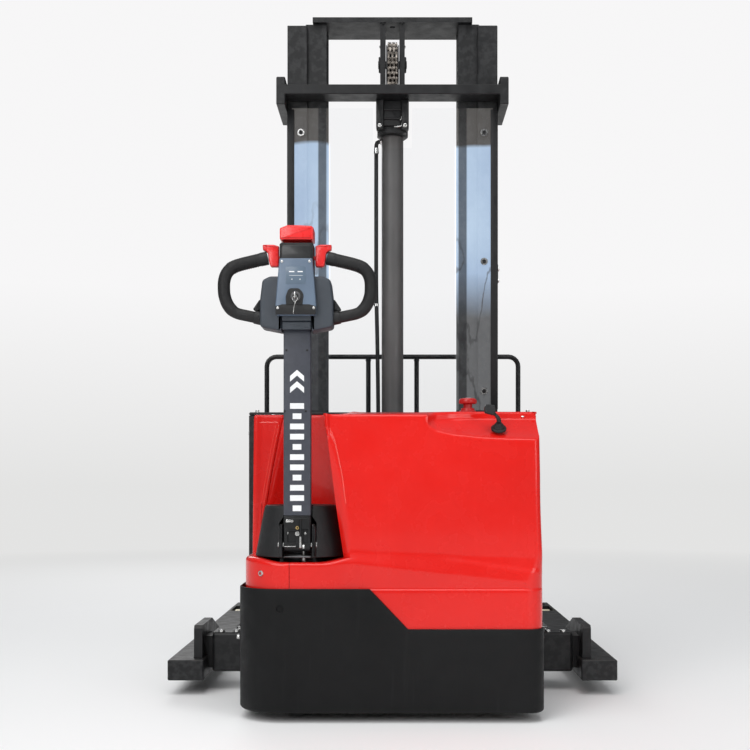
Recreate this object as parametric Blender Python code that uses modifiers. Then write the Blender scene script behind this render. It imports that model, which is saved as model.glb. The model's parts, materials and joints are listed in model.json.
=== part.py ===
"""Walkie stacker: a pedestrian-steered electric stacker with adjustable straddle legs.

Metres, +Z up, +Y towards the forks, +X to the operator's right. The origin is on the floor, in the
middle of the truck's length and width. Every moving group hangs from an empty on its joint's axis.
"""

import math

import bmesh
import bpy
from mathutils import Matrix, Vector

# Overall size; "depth" below means the distance forward of the hood's rear face
WIDTH = 1.336
CLOSED_HEIGHT = 2.106
LEG_TIP_DEPTH = 1.892
KEY_REACH = 0.0745
GAP = 0.0005

# Body covers; the origin is halfway between the key's end and the legs' tips
HOOD_REAR = -(LEG_TIP_DEPTH + KEY_REACH) / 2 + KEY_REACH
REAR = HOOD_REAR - 0.008
SKIRT_HALF = 0.4165
SKIRT_BOTTOM = 0.025
SKIRT_TOP_LEFT = 0.355
SKIRT_TOP_RIGHT = 0.249
SKIRT_DEPTH = 0.335
STEP_START = -0.060
STEP_END = 0.041
CORNER_LEFT = 0.118
CORNER_RIGHT = 0.045
SKIN = 0.006
HOOD_SKIN = 0.004
HOOD_HALF = 0.402
HOOD_TOP = 0.828
HOOD_DEPTH = 0.340
LEDGE_TOP = 0.435
SEAM_X = -0.2715
NICHE_DEPTH = 0.255
NICHE_FOOT_RADIUS = 0.186
NICHE_TOP_RADIUS = 0.1425

# Steering and tiller
STEER_X = -0.252
STEER_DEPTH = 0.126
CONE_BOTTOM = 0.4365
CONE_TOP = 0.574
CONE_FOOT_RADIUS = 0.1235
CONE_TOP_RADIUS = 0.0970
DRIVE_RADIUS = 0.110
DRIVE_HALF_WIDTH = 0.035
TILLER_DEPTH = 0.020
TILLER_PIVOT_Z = 0.470
TILLER_HALF_WIDTH = 0.036
TILLER_HALF_THICK = 0.018
TILLER_TOP = 1.045
HEAD_FACE = -0.018
THROTTLE_Z = 1.2295
THROTTLE_DEPTH = 0.012
KEY_Z = 1.1205

# Chassis and mast
BAY_DEPTH = (0.3425, 0.598)
BAY_HALF = 0.422
BAY_TOP = 0.830
DECK_Z = (0.318, 0.330)
MAST_DEPTH = (0.600, 0.725)
MAST_OUTER = 0.333
MAST_INNER = 0.270
MAST_FOOT = 0.060
MAST_TOP = 2.080
INNER_DEPTH = (0.616, 0.709)
INNER_OUTER = 0.276
INNER_INNER = 0.208
INNER_FOOT = 0.075
INNER_TOP = 2.0895
LIFT_DEPTH = 0.650
BARREL_RADIUS = 0.035
BARREL_TOP = 1.795
SHEAVE_Z = 1.972
SHEAVE_PITCH = 0.062
CHAIN_HALF_WIDTH = 0.0165
CHAIN_HALF_THICK = 0.008

# Fork carriage
BAR_DEPTH = (0.752, 0.782)
BAR_HALF = 0.430
UPPER_BAR = (0.430, 0.475)
LOWER_BAR = (0.085, 0.130)
ROLLER_RADIUS = 0.036
ROLLER_HEIGHTS = (0.150, 0.400)
BACKREST_TOP = 1.047
BACKREST_HALF = 0.4165
BACKREST_BARS = 0.080
FORK_X = 0.290
FORK_HALF = 0.050
FORK_TIP_DEPTH = 1.8875

# Straddle legs
LEG_OUTER = WIDTH / 2
LEG_INNER = 0.561
LEG_DEPTH = (0.372, LEG_TIP_DEPTH)
LEG_Z = (0.045, 0.106)
TUBE_HALF = 0.548
TUBE_DEPTH = (0.450, 0.570)
TUBE_Z = (0.058, 0.177)
TUBE_WALL = 0.010
WHEEL_DEPTH = 1.675
WHEEL_RADIUS = 0.051
CASTER_X = 0.260
CASTER_DEPTH = 0.125
CASTER_TRAIL = 0.045
CASTER_RADIUS = 0.062


def ahead(depth):
    """World Y of a place this far forward of the hood's rear face."""
    return HOOD_REAR + depth


STEER_Y = ahead(STEER_DEPTH)
TILLER_AXIS = Vector((STEER_X, ahead(TILLER_DEPTH), TILLER_PIVOT_Z))
CYLINDER_Y = ahead(LIFT_DEPTH)


# ---------------------------------------------------------------- scene and helpers

def clear_scene():
    for old in list(bpy.data.objects):
        bpy.data.objects.remove(old, do_unlink=True)


def new_collection(name):
    collection = bpy.data.collections.new(name)
    bpy.context.scene.collection.children.link(collection)
    return collection


clear_scene()
PARTS = new_collection("walkie_stacker")
CUTTERS = new_collection("cutters")
PIVOTS = {}


def finish(name, color, roughness=0.5, metallic=0.0, alpha=1.0):
    """A Principled material."""
    material = bpy.data.materials.new(name)
    material.use_nodes = True
    shader = material.node_tree.nodes["Principled BSDF"]
    shader.inputs["Base Color"].default_value = (*color, 1.0)
    shader.inputs["Roughness"].default_value = roughness
    shader.inputs["Metallic"].default_value = metallic
    shader.inputs["Alpha"].default_value = alpha
    return material


def red_paint(name):
    return finish(name, (0.78, 0.03, 0.02), 0.22)


def black_plastic(name):
    return finish(name, (0.018, 0.019, 0.021), 0.55)


def black_steel(name):
    return finish(name, (0.030, 0.032, 0.035), 0.45, 0.3)


def grey_steel(name):
    return finish(name, (0.075, 0.090, 0.110), 0.45, 0.3)


def bright_steel(name):
    return finish(name, (0.60, 0.60, 0.60), 0.25, 1.0)


def cast_metal(name):
    return finish(name, (0.22, 0.22, 0.23), 0.6, 0.7)


def link(obj, name, material, pivot=None):
    """Names a new part, gives it its material and hangs it from its joint's empty."""
    obj.name = name
    obj.data.name = name
    obj.data.materials.clear()
    obj.data.materials.append(material)
    for collection in list(obj.users_collection):
        collection.objects.unlink(obj)
    PARTS.objects.link(obj)
    if pivot:
        obj.parent = bpy.data.objects[pivot]
        obj.location = obj.location - PIVOTS[pivot]
    return obj


def add_pivot(name, at, parent=None):
    """An empty on a joint's axis; at is its place in the world."""
    empty = bpy.data.objects.new(name, None)
    empty.empty_display_size = 0.05
    PARTS.objects.link(empty)
    PIVOTS[name] = Vector(at)
    if parent:
        empty.parent = bpy.data.objects[parent]
        empty.location = Vector(at) - PIVOTS[parent]
    else:
        empty.location = at
    return empty


def raw(bm, name="raw"):
    """A mesh object in the cutters' collection."""
    bmesh.ops.recalc_face_normals(bm, faces=bm.faces)
    mesh = bpy.data.meshes.new(name)
    bm.to_mesh(mesh)
    bm.free()
    obj = bpy.data.objects.new(name, mesh)
    CUTTERS.objects.link(obj)
    return obj


def block(low, high):
    """A box between two opposite corners."""
    bm = bmesh.new()
    bmesh.ops.create_cube(bm, size=1.0)
    low = Vector(low)
    high = Vector(high)
    bmesh.ops.scale(bm, vec=high - low, verts=bm.verts)
    bmesh.ops.translate(bm, vec=(low + high) / 2, verts=bm.verts)
    return raw(bm)


def rod(start, end, radius, segments=20, end_radius=None):
    """A cylinder, or a cone, between two points."""
    start = Vector(start)
    end = Vector(end)
    bm = bmesh.new()
    bmesh.ops.create_cone(
        bm,
        cap_ends=True,
        segments=segments,
        radius1=radius,
        radius2=radius if end_radius is None else end_radius,
        depth=(end - start).length,
    )
    turn = Vector((0, 0, 1)).rotation_difference(end - start).to_matrix().to_4x4()
    bmesh.ops.transform(bm, matrix=Matrix.Translation((start + end) / 2) @ turn, verts=bm.verts)
    obj = raw(bm)
    round_shading(obj)
    return obj


def round_shading(obj, angle=35.0):
    obj.data.shade_smooth()
    obj.data.set_sharp_from_angle(angle=math.radians(angle))


def prism(outline, axis, low, high):
    """A flat outline drawn as a filled 2D curve, extruded from low to high along axis X, Y or Z.

    The outline's points are the other two coordinates, in the order XY, XZ or YZ.
    """
    curve = bpy.data.curves.new("outline", "CURVE")
    curve.dimensions = "2D"
    curve.fill_mode = "BOTH"
    curve.extrude = (high - low) / 2
    spline = curve.splines.new("POLY")
    spline.points.add(len(outline) - 1)
    for point, (a, b) in zip(spline.points, outline):
        point.co = (a, b, 0.0, 1.0)
    spline.use_cyclic_u = True
    obj = bpy.data.objects.new("outline", curve)
    CUTTERS.objects.link(obj)
    middle = (low + high) / 2
    if axis == "Z":
        obj.matrix_world = Matrix.Translation((0, 0, middle))
    elif axis == "Y":
        obj.matrix_world = Matrix.Translation((0, middle, 0)) @ Matrix.Rotation(math.pi / 2, 4, "X")
    else:
        turn = Matrix(((0, 0, 1, 0), (1, 0, 0, 0), (0, 1, 0, 0), (0, 0, 0, 1)))
        obj.matrix_world = Matrix.Translation((middle, 0, 0)) @ turn
    return curve_to_mesh(obj)


def curve_to_mesh(obj):
    """Turns a curve object into a closed mesh object in the world's own axes."""
    bpy.context.view_layer.update()
    shape = obj.evaluated_get(bpy.context.evaluated_depsgraph_get())
    mesh = bpy.data.meshes.new_from_object(shape)
    mesh.transform(obj.matrix_world)
    bm = bmesh.new()
    bm.from_mesh(mesh)
    bmesh.ops.remove_doubles(bm, verts=bm.verts, dist=1e-6)
    bmesh.ops.recalc_face_normals(bm, faces=bm.faces)
    bm.to_mesh(mesh)
    bm.free()
    bpy.data.objects.remove(obj, do_unlink=True)
    made = bpy.data.objects.new("shape", mesh)
    CUTTERS.objects.link(made)
    return made


def tube(points, radius, resolution=2):
    """A round bar or hose along a line of points, with closed ends."""
    curve = bpy.data.curves.new("tube", "CURVE")
    curve.dimensions = "3D"
    curve.bevel_depth = radius
    curve.bevel_resolution = resolution
    curve.use_fill_caps = True
    spline = curve.splines.new("POLY")
    spline.points.add(len(points) - 1)
    for point, place in zip(spline.points, points):
        point.co = (*place, 1.0)
    obj = bpy.data.objects.new("tube", curve)
    CUTTERS.objects.link(obj)
    made = curve_to_mesh(obj)
    round_shading(made)
    return made


def turned(profile, place, axis="Z", segments=32):
    """A closed profile of (radius, height) points turned about an axis through place."""
    bm = bmesh.new()
    verts = [bm.verts.new((radius, 0.0, height)) for radius, height in profile]
    for first, second in zip(verts, verts[1:] + verts[:1]):
        if first.co.x > 1e-6 or second.co.x > 1e-6:
            bm.edges.new((first, second))
    mesh = bpy.data.meshes.new("turned")
    bm.to_mesh(mesh)
    bm.free()
    obj = bpy.data.objects.new("turned", mesh)
    CUTTERS.objects.link(obj)
    screw = obj.modifiers.new("turn", "SCREW")
    screw.steps = segments
    screw.render_steps = segments
    screw.use_merge_vertices = True
    screw.merge_threshold = 1e-5
    screw.use_normal_calculate = True
    made = baked(obj)
    turn = Matrix.Identity(4)
    if axis == "X":
        turn = Matrix.Rotation(math.pi / 2, 4, "Y")
    elif axis == "Y":
        turn = Matrix.Rotation(-math.pi / 2, 4, "X")
    made.data.transform(Matrix.Translation(place) @ turn)
    round_shading(made)
    return made


def baked(obj):
    """The object with its modifiers applied and its normals facing out."""
    bpy.context.view_layer.update()
    shape = obj.evaluated_get(bpy.context.evaluated_depsgraph_get())
    mesh = bpy.data.meshes.new_from_object(shape)
    bm = bmesh.new()
    bm.from_mesh(mesh)
    bmesh.ops.recalc_face_normals(bm, faces=bm.faces)
    bm.to_mesh(mesh)
    bm.free()
    obj.modifiers.clear()
    obj.data = mesh
    return obj


def boolean(obj, tool, operation):
    change = obj.modifiers.new(operation.lower(), "BOOLEAN")
    change.operation = operation
    change.object = tool
    baked(obj)
    bpy.data.objects.remove(tool, do_unlink=True)
    return obj


def cut(obj, *tools):
    for tool in tools:
        boolean(obj, tool, "DIFFERENCE")
    return obj


def join(obj, *tools):
    for tool in tools:
        boolean(obj, tool, "UNION")
    return obj


def keep_inside(obj, tool):
    return boolean(obj, tool, "INTERSECT")


def bevel(obj, width, segments=1, angle=50.0):
    """Rounds the sharp edges."""
    edge = obj.modifiers.new("edges", "BEVEL")
    edge.width = width
    edge.segments = segments
    edge.limit_method = "ANGLE"
    edge.angle_limit = math.radians(angle)
    return obj


def mirror_outline(outline):
    return [(-x, y) for x, y in reversed(outline)]


def arc(centre, radius, start, end, steps):
    """Points on an arc; the angles are in degrees."""
    angles = [math.radians(start + (end - start) * i / steps) for i in range(steps + 1)]
    return [(centre[0] + radius * math.cos(a), centre[1] + radius * math.sin(a)) for a in angles]


# ---------------------------------------------------------------- covers

def rear_outline(half, rear, front, shrink=0.0):
    """Plan outline of the covers, open at the front: rounded at the two rear corners."""
    left = CORNER_LEFT - shrink
    right = max(CORNER_RIGHT - shrink, 0.012)
    points = [(-half, front)]
    points += arc((-half + left, rear + left), left, 180, 270, 8)
    points += arc((half - right, rear + right), right, 270, 360, 5)
    points += [(half, front)]
    return points


def step_line(top_left, top_right, shift=0.0):
    """The step between the skirt's tall left part and its low right part, in X and Z."""
    return [(STEP_START + shift, top_left), (STEP_END + shift, top_right)]


def lower_skirt():
    """The black skirt round the drive compartment, open below and in front."""
    bm = bmesh.new()
    path = [bm.verts.new((x, y, SKIRT_BOTTOM))
            for x, y in rear_outline(SKIRT_HALF, REAR, ahead(SKIRT_DEPTH))]
    edges = [bm.edges.new(pair) for pair in zip(path, path[1:])]
    grown = bmesh.ops.extrude_edge_only(bm, edges=edges)
    top = [v for v in grown["geom"] if isinstance(v, bmesh.types.BMVert)]
    bmesh.ops.translate(bm, vec=(0, 0, SKIRT_TOP_LEFT - SKIRT_BOTTOM), verts=top)
    skirt = raw(bm)
    shell = skirt.modifiers.new("skin", "SOLIDIFY")
    shell.thickness = SKIN
    shell.offset = -1.0
    baked(skirt)
    if max(v.co.x for v in skirt.data.vertices) > SKIRT_HALF + SKIN / 2:
        skirt.data.flip_normals()
    above = step_line(SKIRT_TOP_LEFT, SKIRT_TOP_RIGHT)
    above += [(1.0, SKIRT_TOP_RIGHT), (1.0, 0.5), (STEP_START, 0.5)]
    cut(skirt, prism(above, "Y", REAR - 0.05, ahead(0.5)))
    cut(skirt, rod((-0.297, REAR - 0.02, 0.302), (-0.297, REAR + 0.03, 0.302), 0.010, 16))
    round_shading(skirt)
    return link(skirt, "lower_skirt", black_plastic("skirt_plastic"))


def hood_form(skin):
    """A closed form for the hood: its outside for skin 0, its hollow for skin > 0."""
    low = SKIRT_TOP_RIGHT - 0.010 if skin == 0 else 0.200
    front = ahead(HOOD_DEPTH) if skin == 0 else ahead(HOOD_DEPTH + 0.05)
    rings = [(low, 0.0), (0.795, 0.010), (0.818, 0.016), (HOOD_TOP, 0.030)]
    if skin > 0:
        rings = [(low, 0.0), (0.795, 0.010), (HOOD_TOP - skin, 0.024)]
    bm = bmesh.new()
    loops = []
    for height, inset in rings:
        inset += skin
        outline = rear_outline(HOOD_HALF - inset, HOOD_REAR + inset, front, inset)
        loops.append([bm.verts.new((x, y, height)) for x, y in outline])
    for lower, upper in zip(loops, loops[1:]):
        for i in range(len(lower)):
            j = (i + 1) % len(lower)
            bm.faces.new((lower[i], lower[j], upper[j], upper[i]))
    bm.faces.new(loops[0])
    bm.faces.new(loops[-1])
    form = raw(bm)
    foot = LEDGE_TOP - skin
    cone_foot = Vector((STEER_X, STEER_Y, foot))
    cone_head = Vector((STEER_X, STEER_Y, HOOD_TOP + 0.012))
    cut(form, rod(cone_foot, cone_head, NICHE_FOOT_RADIUS + skin, 48, NICHE_TOP_RADIUS + skin))
    corner = block((-0.5, REAR - 0.05, foot), (STEER_X, ahead(NICHE_DEPTH) + skin, HOOD_TOP + 0.012))
    cut(form, corner)
    slope = [(ahead(-0.03), 0.732 - skin), (ahead(0.112 + skin), HOOD_TOP + 0.001),
             (ahead(0.112 + skin), 0.9), (ahead(-0.03), 0.9)]
    cut(form, prism(slope, "X", 0.092 - skin, 0.5))
    return form


def below_step(shift):
    """What the skirt's band covers, under the hood's lower edge."""
    lip = 0.008
    outline = step_line(SKIRT_TOP_LEFT - lip, SKIRT_TOP_RIGHT - lip, shift)
    outline += [(1.0, SKIRT_TOP_RIGHT - lip), (1.0, 0.1), (-1.0, 0.1), (-1.0, SKIRT_TOP_LEFT - lip)]
    return prism(outline, "Y", REAR - 0.05, ahead(0.6))


def hood_shell():
    """The red hood: rear face, ledge under the tiller and the niche round it."""
    shell = cut(hood_form(0.0), hood_form(HOOD_SKIN), below_step(-0.004))
    hole = rod((STEER_X, STEER_Y, 0.30), (STEER_X, STEER_Y, LEDGE_TOP + 0.01), 0.112, 40)
    return cut(shell, hole)


def corner_box(gap):
    return block((-0.6, REAR - 0.05, 0.2), (SEAM_X - gap, ahead(NICHE_DEPTH) - gap, LEDGE_TOP + 0.002))


def hood():
    shell = cut(hood_shell(), corner_box(-GAP))
    round_shading(shell, 30)
    return link(shell, "hood", red_paint("hood_paint"))


def corner_cover():
    """The left end of the ledge, a cover of its own behind a seam."""
    shell = keep_inside(hood_shell(), corner_box(GAP))
    round_shading(shell, 30)
    return link(shell, "corner_cover", red_paint("corner_paint"))


# ---------------------------------------------------------------- chassis

def chassis_frame():
    """Battery bay, drive deck and caster block, welded together."""
    back, front = (ahead(d) for d in BAY_DEPTH)
    wall = 0.010
    frame = block((-BAY_HALF, back, 0.185), (BAY_HALF, front, BAY_TOP))
    cut(frame, block((-BAY_HALF + wall, back + wall, 0.197), (BAY_HALF - wall, front - wall, 0.9)))
    deck = [(-0.310, ahead(0.018)), (0.355, ahead(0.018)), (0.355, back + wall / 2),
            (-0.360, back + wall / 2), (-0.360, ahead(0.070))]
    join(frame, prism(deck, "Z", *DECK_Z))
    join(frame, block((CASTER_X - 0.055, ahead(CASTER_DEPTH - 0.055), 0.175),
                      (CASTER_X + 0.055, ahead(CASTER_DEPTH + 0.055), DECK_Z[0] + 0.004)))
    cut(frame, rod((STEER_X, STEER_Y, 0.3), (STEER_X, STEER_Y, 0.35), 0.096, 32))
    return link(frame, "chassis_frame", black_steel("chassis_steel"))


def battery_cover():
    back, front = (ahead(d) for d in BAY_DEPTH)
    lid = block((-BAY_HALF, back, BAY_TOP + GAP), (BAY_HALF, front, BAY_TOP + 0.010))
    return link(bevel(lid, 0.003), "battery_cover", black_steel("battery_cover_steel"))


def battery():
    pack = block((-0.385, ahead(0.362), 0.198), (0.385, ahead(0.578), 0.430))
    return link(bevel(pack, 0.006), "battery", finish("battery_case", (0.10, 0.11, 0.12), 0.6))


def pump_unit():
    """Oil tank with the pump motor lying on top."""
    tank = block((0.080, ahead(0.080), DECK_Z[1] + GAP), (0.330, ahead(0.250), 0.520))
    bevel(tank, 0.010)
    baked(tank)
    motor = rod((0.100, ahead(0.165), 0.575), (0.300, ahead(0.165), 0.575), 0.058, 24)
    join(tank, motor)
    return link(tank, "pump_unit", finish("pump_metal", (0.12, 0.12, 0.13), 0.5, 0.6))


def motor_controller():
    case = block((-0.055, ahead(0.270), 0.420), (0.060, ahead(BAY_DEPTH[0] - GAP), 0.640))
    return link(bevel(case, 0.004), "motor_controller", cast_metal("controller_metal"))


def cross_tube():
    """Box section under the battery bay that the legs' beams slide in."""
    tube_box = block((-TUBE_HALF, ahead(TUBE_DEPTH[0]), TUBE_Z[0]),
                     (TUBE_HALF, ahead(TUBE_DEPTH[1]), TUBE_Z[1]))
    bevel(tube_box, 0.008, 2)
    baked(tube_box)
    hollow = block((-1.0, ahead(TUBE_DEPTH[0]) + TUBE_WALL, TUBE_Z[0] + TUBE_WALL),
                   (1.0, ahead(TUBE_DEPTH[1]) - TUBE_WALL, TUBE_Z[1] - TUBE_WALL))
    cut(tube_box, hollow)
    return link(tube_box, "cross_tube", black_steel("cross_tube_steel"))


# ---------------------------------------------------------------- mast

def channel(side, outer, inner, depths, web, flange, low, high):
    """A C section that opens towards the truck's middle."""
    back, front = (ahead(d) for d in depths)
    outline = [
        (outer, back), (outer, front), (inner, front), (inner, front - flange),
        (outer - web, front - flange), (outer - web, back + flange),
        (inner, back + flange), (inner, back),
    ]
    if side < 0:
        outline = mirror_outline(outline)
    return prism(outline, "Z", low, high)


def mast_channels():
    for side, name in ((-1, "mast_channel_left"), (1, "mast_channel_right")):
        section = channel(side, MAST_OUTER, MAST_INNER, MAST_DEPTH, 0.010, 0.012, MAST_FOOT, MAST_TOP)
        link(bevel(section, 0.002), name, black_steel(name + "_steel"))


def mast_crossmember():
    """Upper tie of the outer mast with its two end plates."""
    back, front = ahead(0.522), ahead(MAST_DEPTH[0] - 0.0015)
    edge = MAST_OUTER + GAP
    bar = block((-edge - 0.005, back, 1.837), (edge + 0.005, front, 1.867))
    plate = [
        (back, 1.806), (back, 1.886), (back + 0.006, 1.892), (ahead(0.740), 1.892),
        (ahead(0.740), 1.806),
    ]
    for side in (-1, 1):
        low, high = sorted((side * edge, side * (edge + 0.027)))
        join(bar, prism(plate, "X", low, high))
    return link(bevel(bar, 0.002), "mast_crossmember", black_steel("crossmember_steel"))


def mast_foot():
    """Lower tie plate that the channels and the lift cylinder stand on."""
    plate = block((-MAST_OUTER, ahead(0.602), 0.040), (MAST_OUTER, ahead(0.725), MAST_FOOT - GAP))
    return link(bevel(plate, 0.003), "mast_foot", black_steel("mast_foot_steel"))


def guard_shield():
    """Clear sheet bolted across the back of the mast."""
    back = ahead(MAST_DEPTH[0]) - GAP - 0.004
    sheet = block((-0.318, back, 0.860), (0.318, back + 0.004, 1.816))
    cut(sheet, block((-0.062, back - 0.01, 1.690), (0.062, back + 0.02, 1.9)))
    clear = finish("clear_polycarbonate", (0.75, 0.86, 0.95), 0.05, 0.0, 0.25)
    return link(sheet, "guard_shield", clear)


def lift_cylinder():
    """Barrel and gland of the single central lift cylinder."""
    bore = 0.028
    gland = 0.0195
    profile = [
        (0.0, MAST_FOOT), (BARREL_RADIUS, MAST_FOOT), (BARREL_RADIUS, BARREL_TOP - 0.030),
        (BARREL_RADIUS + 0.003, BARREL_TOP - 0.030), (BARREL_RADIUS + 0.003, BARREL_TOP - 0.010),
        (BARREL_RADIUS - 0.004, BARREL_TOP), (gland, BARREL_TOP), (gland, BARREL_TOP - 0.050),
        (bore, BARREL_TOP - 0.050), (bore, MAST_FOOT + 0.020), (0.0, MAST_FOOT + 0.020),
    ]
    barrel = turned(profile, (0.0, CYLINDER_Y, 0.0), "Z", 24)
    return link(barrel, "lift_cylinder", finish("cylinder_paint", (0.10, 0.096, 0.096), 0.5, 0.3))


def cylinder_clamp():
    """Bracket under the crossmember whose collar holds the cylinder's head."""
    back = ahead(0.570)
    clamp = block((-0.052, back, 1.735), (0.052, ahead(0.598), 1.8365))
    join(clamp, block((-0.045, ahead(0.590), 1.735), (0.045, ahead(0.615), 1.762)))
    collar = rod((0, CYLINDER_Y, 1.735), (0, CYLINDER_Y, 1.762), 0.050, 28)
    join(clamp, collar)
    cut(clamp, rod((0, CYLINDER_Y, 1.6), (0, CYLINDER_Y, 1.9), BARREL_RADIUS + GAP, 28))
    clear_path = block((-0.2, ahead(0.640), 1.763), (0.2, ahead(0.75), 1.9))
    cut(clamp, clear_path)
    return link(clamp, "cylinder_clamp", black_steel("clamp_steel"))


def hydraulic_hose():
    """Hose from the cylinder's head down its left side to the chassis."""
    y = CYLINDER_Y - 0.008
    points = [
        (-0.0375, y, 1.723), (-0.047, y, 1.722), (-0.0515, y, 1.714), (-0.0520, y, 1.690),
        (-0.0520, y, 1.250), (-0.0480, y, 1.050), (-0.0450, y, 0.300), (-0.0450, y - 0.004, 0.270),
        (-0.0450, y - 0.016, 0.258), (-0.0450, ahead(BAY_DEPTH[1]) + GAP, 0.256),
    ]
    hose = tube(points, 0.0068)
    return link(hose, "hydraulic_hose", finish("hose_rubber", (0.02, 0.02, 0.02), 0.6))


def estop():
    """Emergency stop: a fixed collar on the hood and a mushroom button that pushes down."""
    place = Vector((0.212, ahead(0.200), HOOD_TOP + GAP))
    collar = turned([(0.014, 0.0), (0.024, 0.0), (0.024, 0.010), (0.021, 0.016), (0.014, 0.016)], place)
    link(collar, "estop_collar", finish("estop_collar_plastic", (0.50, 0.02, 0.02), 0.4))
    add_pivot("pivot_estop", place)
    button = turned(
        [(0.0, 0.008), (0.012, 0.008), (0.012, 0.025), (0.020, 0.025), (0.0255, 0.029),
         (0.0255, 0.036), (0.021, 0.041), (0.010, 0.043), (0.0, 0.0435)], place)
    link(button, "estop_button", finish("estop_red", (0.70, 0.02, 0.03), 0.3), "pivot_estop")


def valve_lever():
    """Lift and lower lever with its rubber boot on the hood's sloping corner."""
    slope = math.atan2(HOOD_TOP - 0.732, 0.142)
    normal = Vector((0.0, -math.sin(slope), math.cos(slope)))
    along = Vector((0.0, math.cos(slope), math.sin(slope)))
    foot = Vector((0.284, ahead(-0.03), 0.732)) + along * 0.0847 + normal * GAP
    boot = rod(foot + normal * GAP * 2, foot + normal * 0.020, 0.021, 20, 0.009)
    link(boot, "lever_boot", finish("boot_rubber", (0.016, 0.016, 0.017), 0.7))
    hub = foot + normal * 0.0265
    add_pivot("pivot_lever", hub)
    stem_end = hub + Vector((-0.026, 0.004, 0.020))
    knob_end = stem_end + Vector((-0.012, 0.002, 0.018))
    lever = rod(hub, stem_end, 0.0055, 12)
    join(lever, rod(stem_end - (knob_end - stem_end) * 0.2, knob_end, 0.0155, 20, 0.012))
    bevel(lever, 0.003)
    link(lever, "valve_lever", black_plastic("lever_plastic"), "pivot_lever")


# ---------------------------------------------------------------- drive unit and steering

def drive_gearbox():
    """Turntable, neck and the two cheeks that carry the drive wheel's axle."""
    body = rod((STEER_X, STEER_Y, 0.262), (STEER_X, STEER_Y, 0.3385), 0.088, 28)
    join(body, rod((STEER_X, STEER_Y, DECK_Z[1] + 0.0015), (STEER_X, STEER_Y, 0.3525), 0.106, 28))
    for side in (-1, 1):
        low, high = sorted((STEER_X + side * 0.042, STEER_X + side * 0.066))
        cheek = [(STEER_Y - 0.050, 0.275), (STEER_Y - 0.030, 0.085), (STEER_Y + 0.030, 0.085),
                 (STEER_Y + 0.050, 0.275)]
        join(body, prism(cheek, "X", low, high))
    join(body, rod((STEER_X - 0.050, STEER_Y, DRIVE_RADIUS), (STEER_X + 0.050, STEER_Y, DRIVE_RADIUS), 0.0150, 20))
    round_shading(body)
    return link(body, "drive_gearbox", cast_metal("gearbox_metal"), "pivot_steer")


def traction_motor():
    z = 0.3530
    motor = turned(
        [(0.0, z), (0.064, z), (0.064, z + 0.150), (0.058, z + 0.158), (0.030, z + 0.158),
         (0.030, z + 0.180), (0.0, z + 0.180)], (STEER_X, STEER_Y, 0.0), "Z", 24)
    return link(motor, "traction_motor", finish("motor_metal", (0.05, 0.05, 0.055), 0.5, 0.5), "pivot_steer")


def drive_wheel():
    tread = DRIVE_HALF_WIDTH
    profile = [
        (0.0155, -0.030), (0.0155, 0.030), (0.060, 0.030), (0.066, tread - 0.002),
        (DRIVE_RADIUS - 0.008, tread), (DRIVE_RADIUS, tread - 0.006), (DRIVE_RADIUS, -tread + 0.006),
        (DRIVE_RADIUS - 0.008, -tread), (0.066, -tread + 0.002), (0.060, -0.030),
    ]
    wheel = turned(profile, (STEER_X, STEER_Y, DRIVE_RADIUS), "X", 48)
    return link(wheel, "drive_wheel", finish("drive_tyre", (0.06, 0.06, 0.065), 0.6), "pivot_drive_wheel")


def cone_cover():
    """Black cone over the drive unit, slotted where the tiller's bracket comes out."""
    wall = 0.004
    lift = CONE_TOP - CONE_BOTTOM
    profile = [
        (CONE_FOOT_RADIUS - wall, 0.0), (CONE_FOOT_RADIUS, 0.0), (CONE_TOP_RADIUS, lift - 0.003),
        (CONE_TOP_RADIUS - 0.003, lift), (0.0, lift), (0.0, lift - wall),
        (CONE_TOP_RADIUS - wall, lift - wall),
    ]
    cone = turned(profile, (STEER_X, STEER_Y, CONE_BOTTOM), "Z", 48)
    rear = STEER_Y - 0.2
    wide, narrow = 0.052, TILLER_HALF_WIDTH + 0.0025
    slot = [(-wide, 0.40), (wide, 0.40), (wide, 0.530), (narrow, 0.545), (narrow, 0.60),
            (-narrow, 0.60), (-narrow, 0.545), (-wide, 0.530)]
    slot = [(STEER_X + x, z) for x, z in slot]
    cut(cone, prism(slot, "Y", rear, STEER_Y - 0.050))
    return link(cone, "cone_cover", black_plastic("cone_plastic"), "pivot_steer")


def tiller_bracket():
    """Two cheeks on the turntable that hold the tiller's pivot pin."""
    y = ahead(0.0)
    base = block((STEER_X - 0.050, y + 0.036, 0.3530), (STEER_X + 0.050, y + 0.054, 0.372))
    cheek = [(y + 0.036, 0.3530), (y + 0.054, 0.3530), (y + 0.054, 0.480), (y + 0.040, 0.500),
             (y + 0.020, 0.506), (y + 0.002, 0.498), (y - 0.002, 0.462), (y + 0.010, 0.442),
             (y + 0.036, 0.434)]
    for side in (-1, 1):
        low, high = sorted((STEER_X + side * 0.0385, STEER_X + side * 0.0500))
        join(base, prism(cheek, "X", low, high))
    pin = TILLER_AXIS
    cut(base, rod(pin - Vector((0.1, 0, 0)), pin + Vector((0.1, 0, 0)), 0.0085, 20))
    return link(base, "tiller_bracket", black_steel("bracket_steel"), "pivot_steer")


def gas_spring():
    """Return spring that stands the tiller up; its rod end stops short of the arm."""
    y = ahead(0.0465)
    low = Vector((STEER_X + 0.014, y, 0.3725))
    body = rod(low, low + Vector((0, 0, 0.060)), 0.0065, 16)
    join(body, rod(low + Vector((0, 0, 0.050)), low + Vector((0, 0, 0.104)), 0.0035, 12))
    round_shading(body)
    return link(body, "gas_spring", bright_steel("gas_spring_steel"), "pivot_steer")


def tiller_pin():
    half = Vector((0.0515, 0, 0))
    pin = rod(TILLER_AXIS - half, TILLER_AXIS + half, 0.0080, 20)
    return link(pin, "tiller_pin", bright_steel("tiller_pin_steel"), "pivot_steer")


# ---------------------------------------------------------------- tiller and control head

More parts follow.
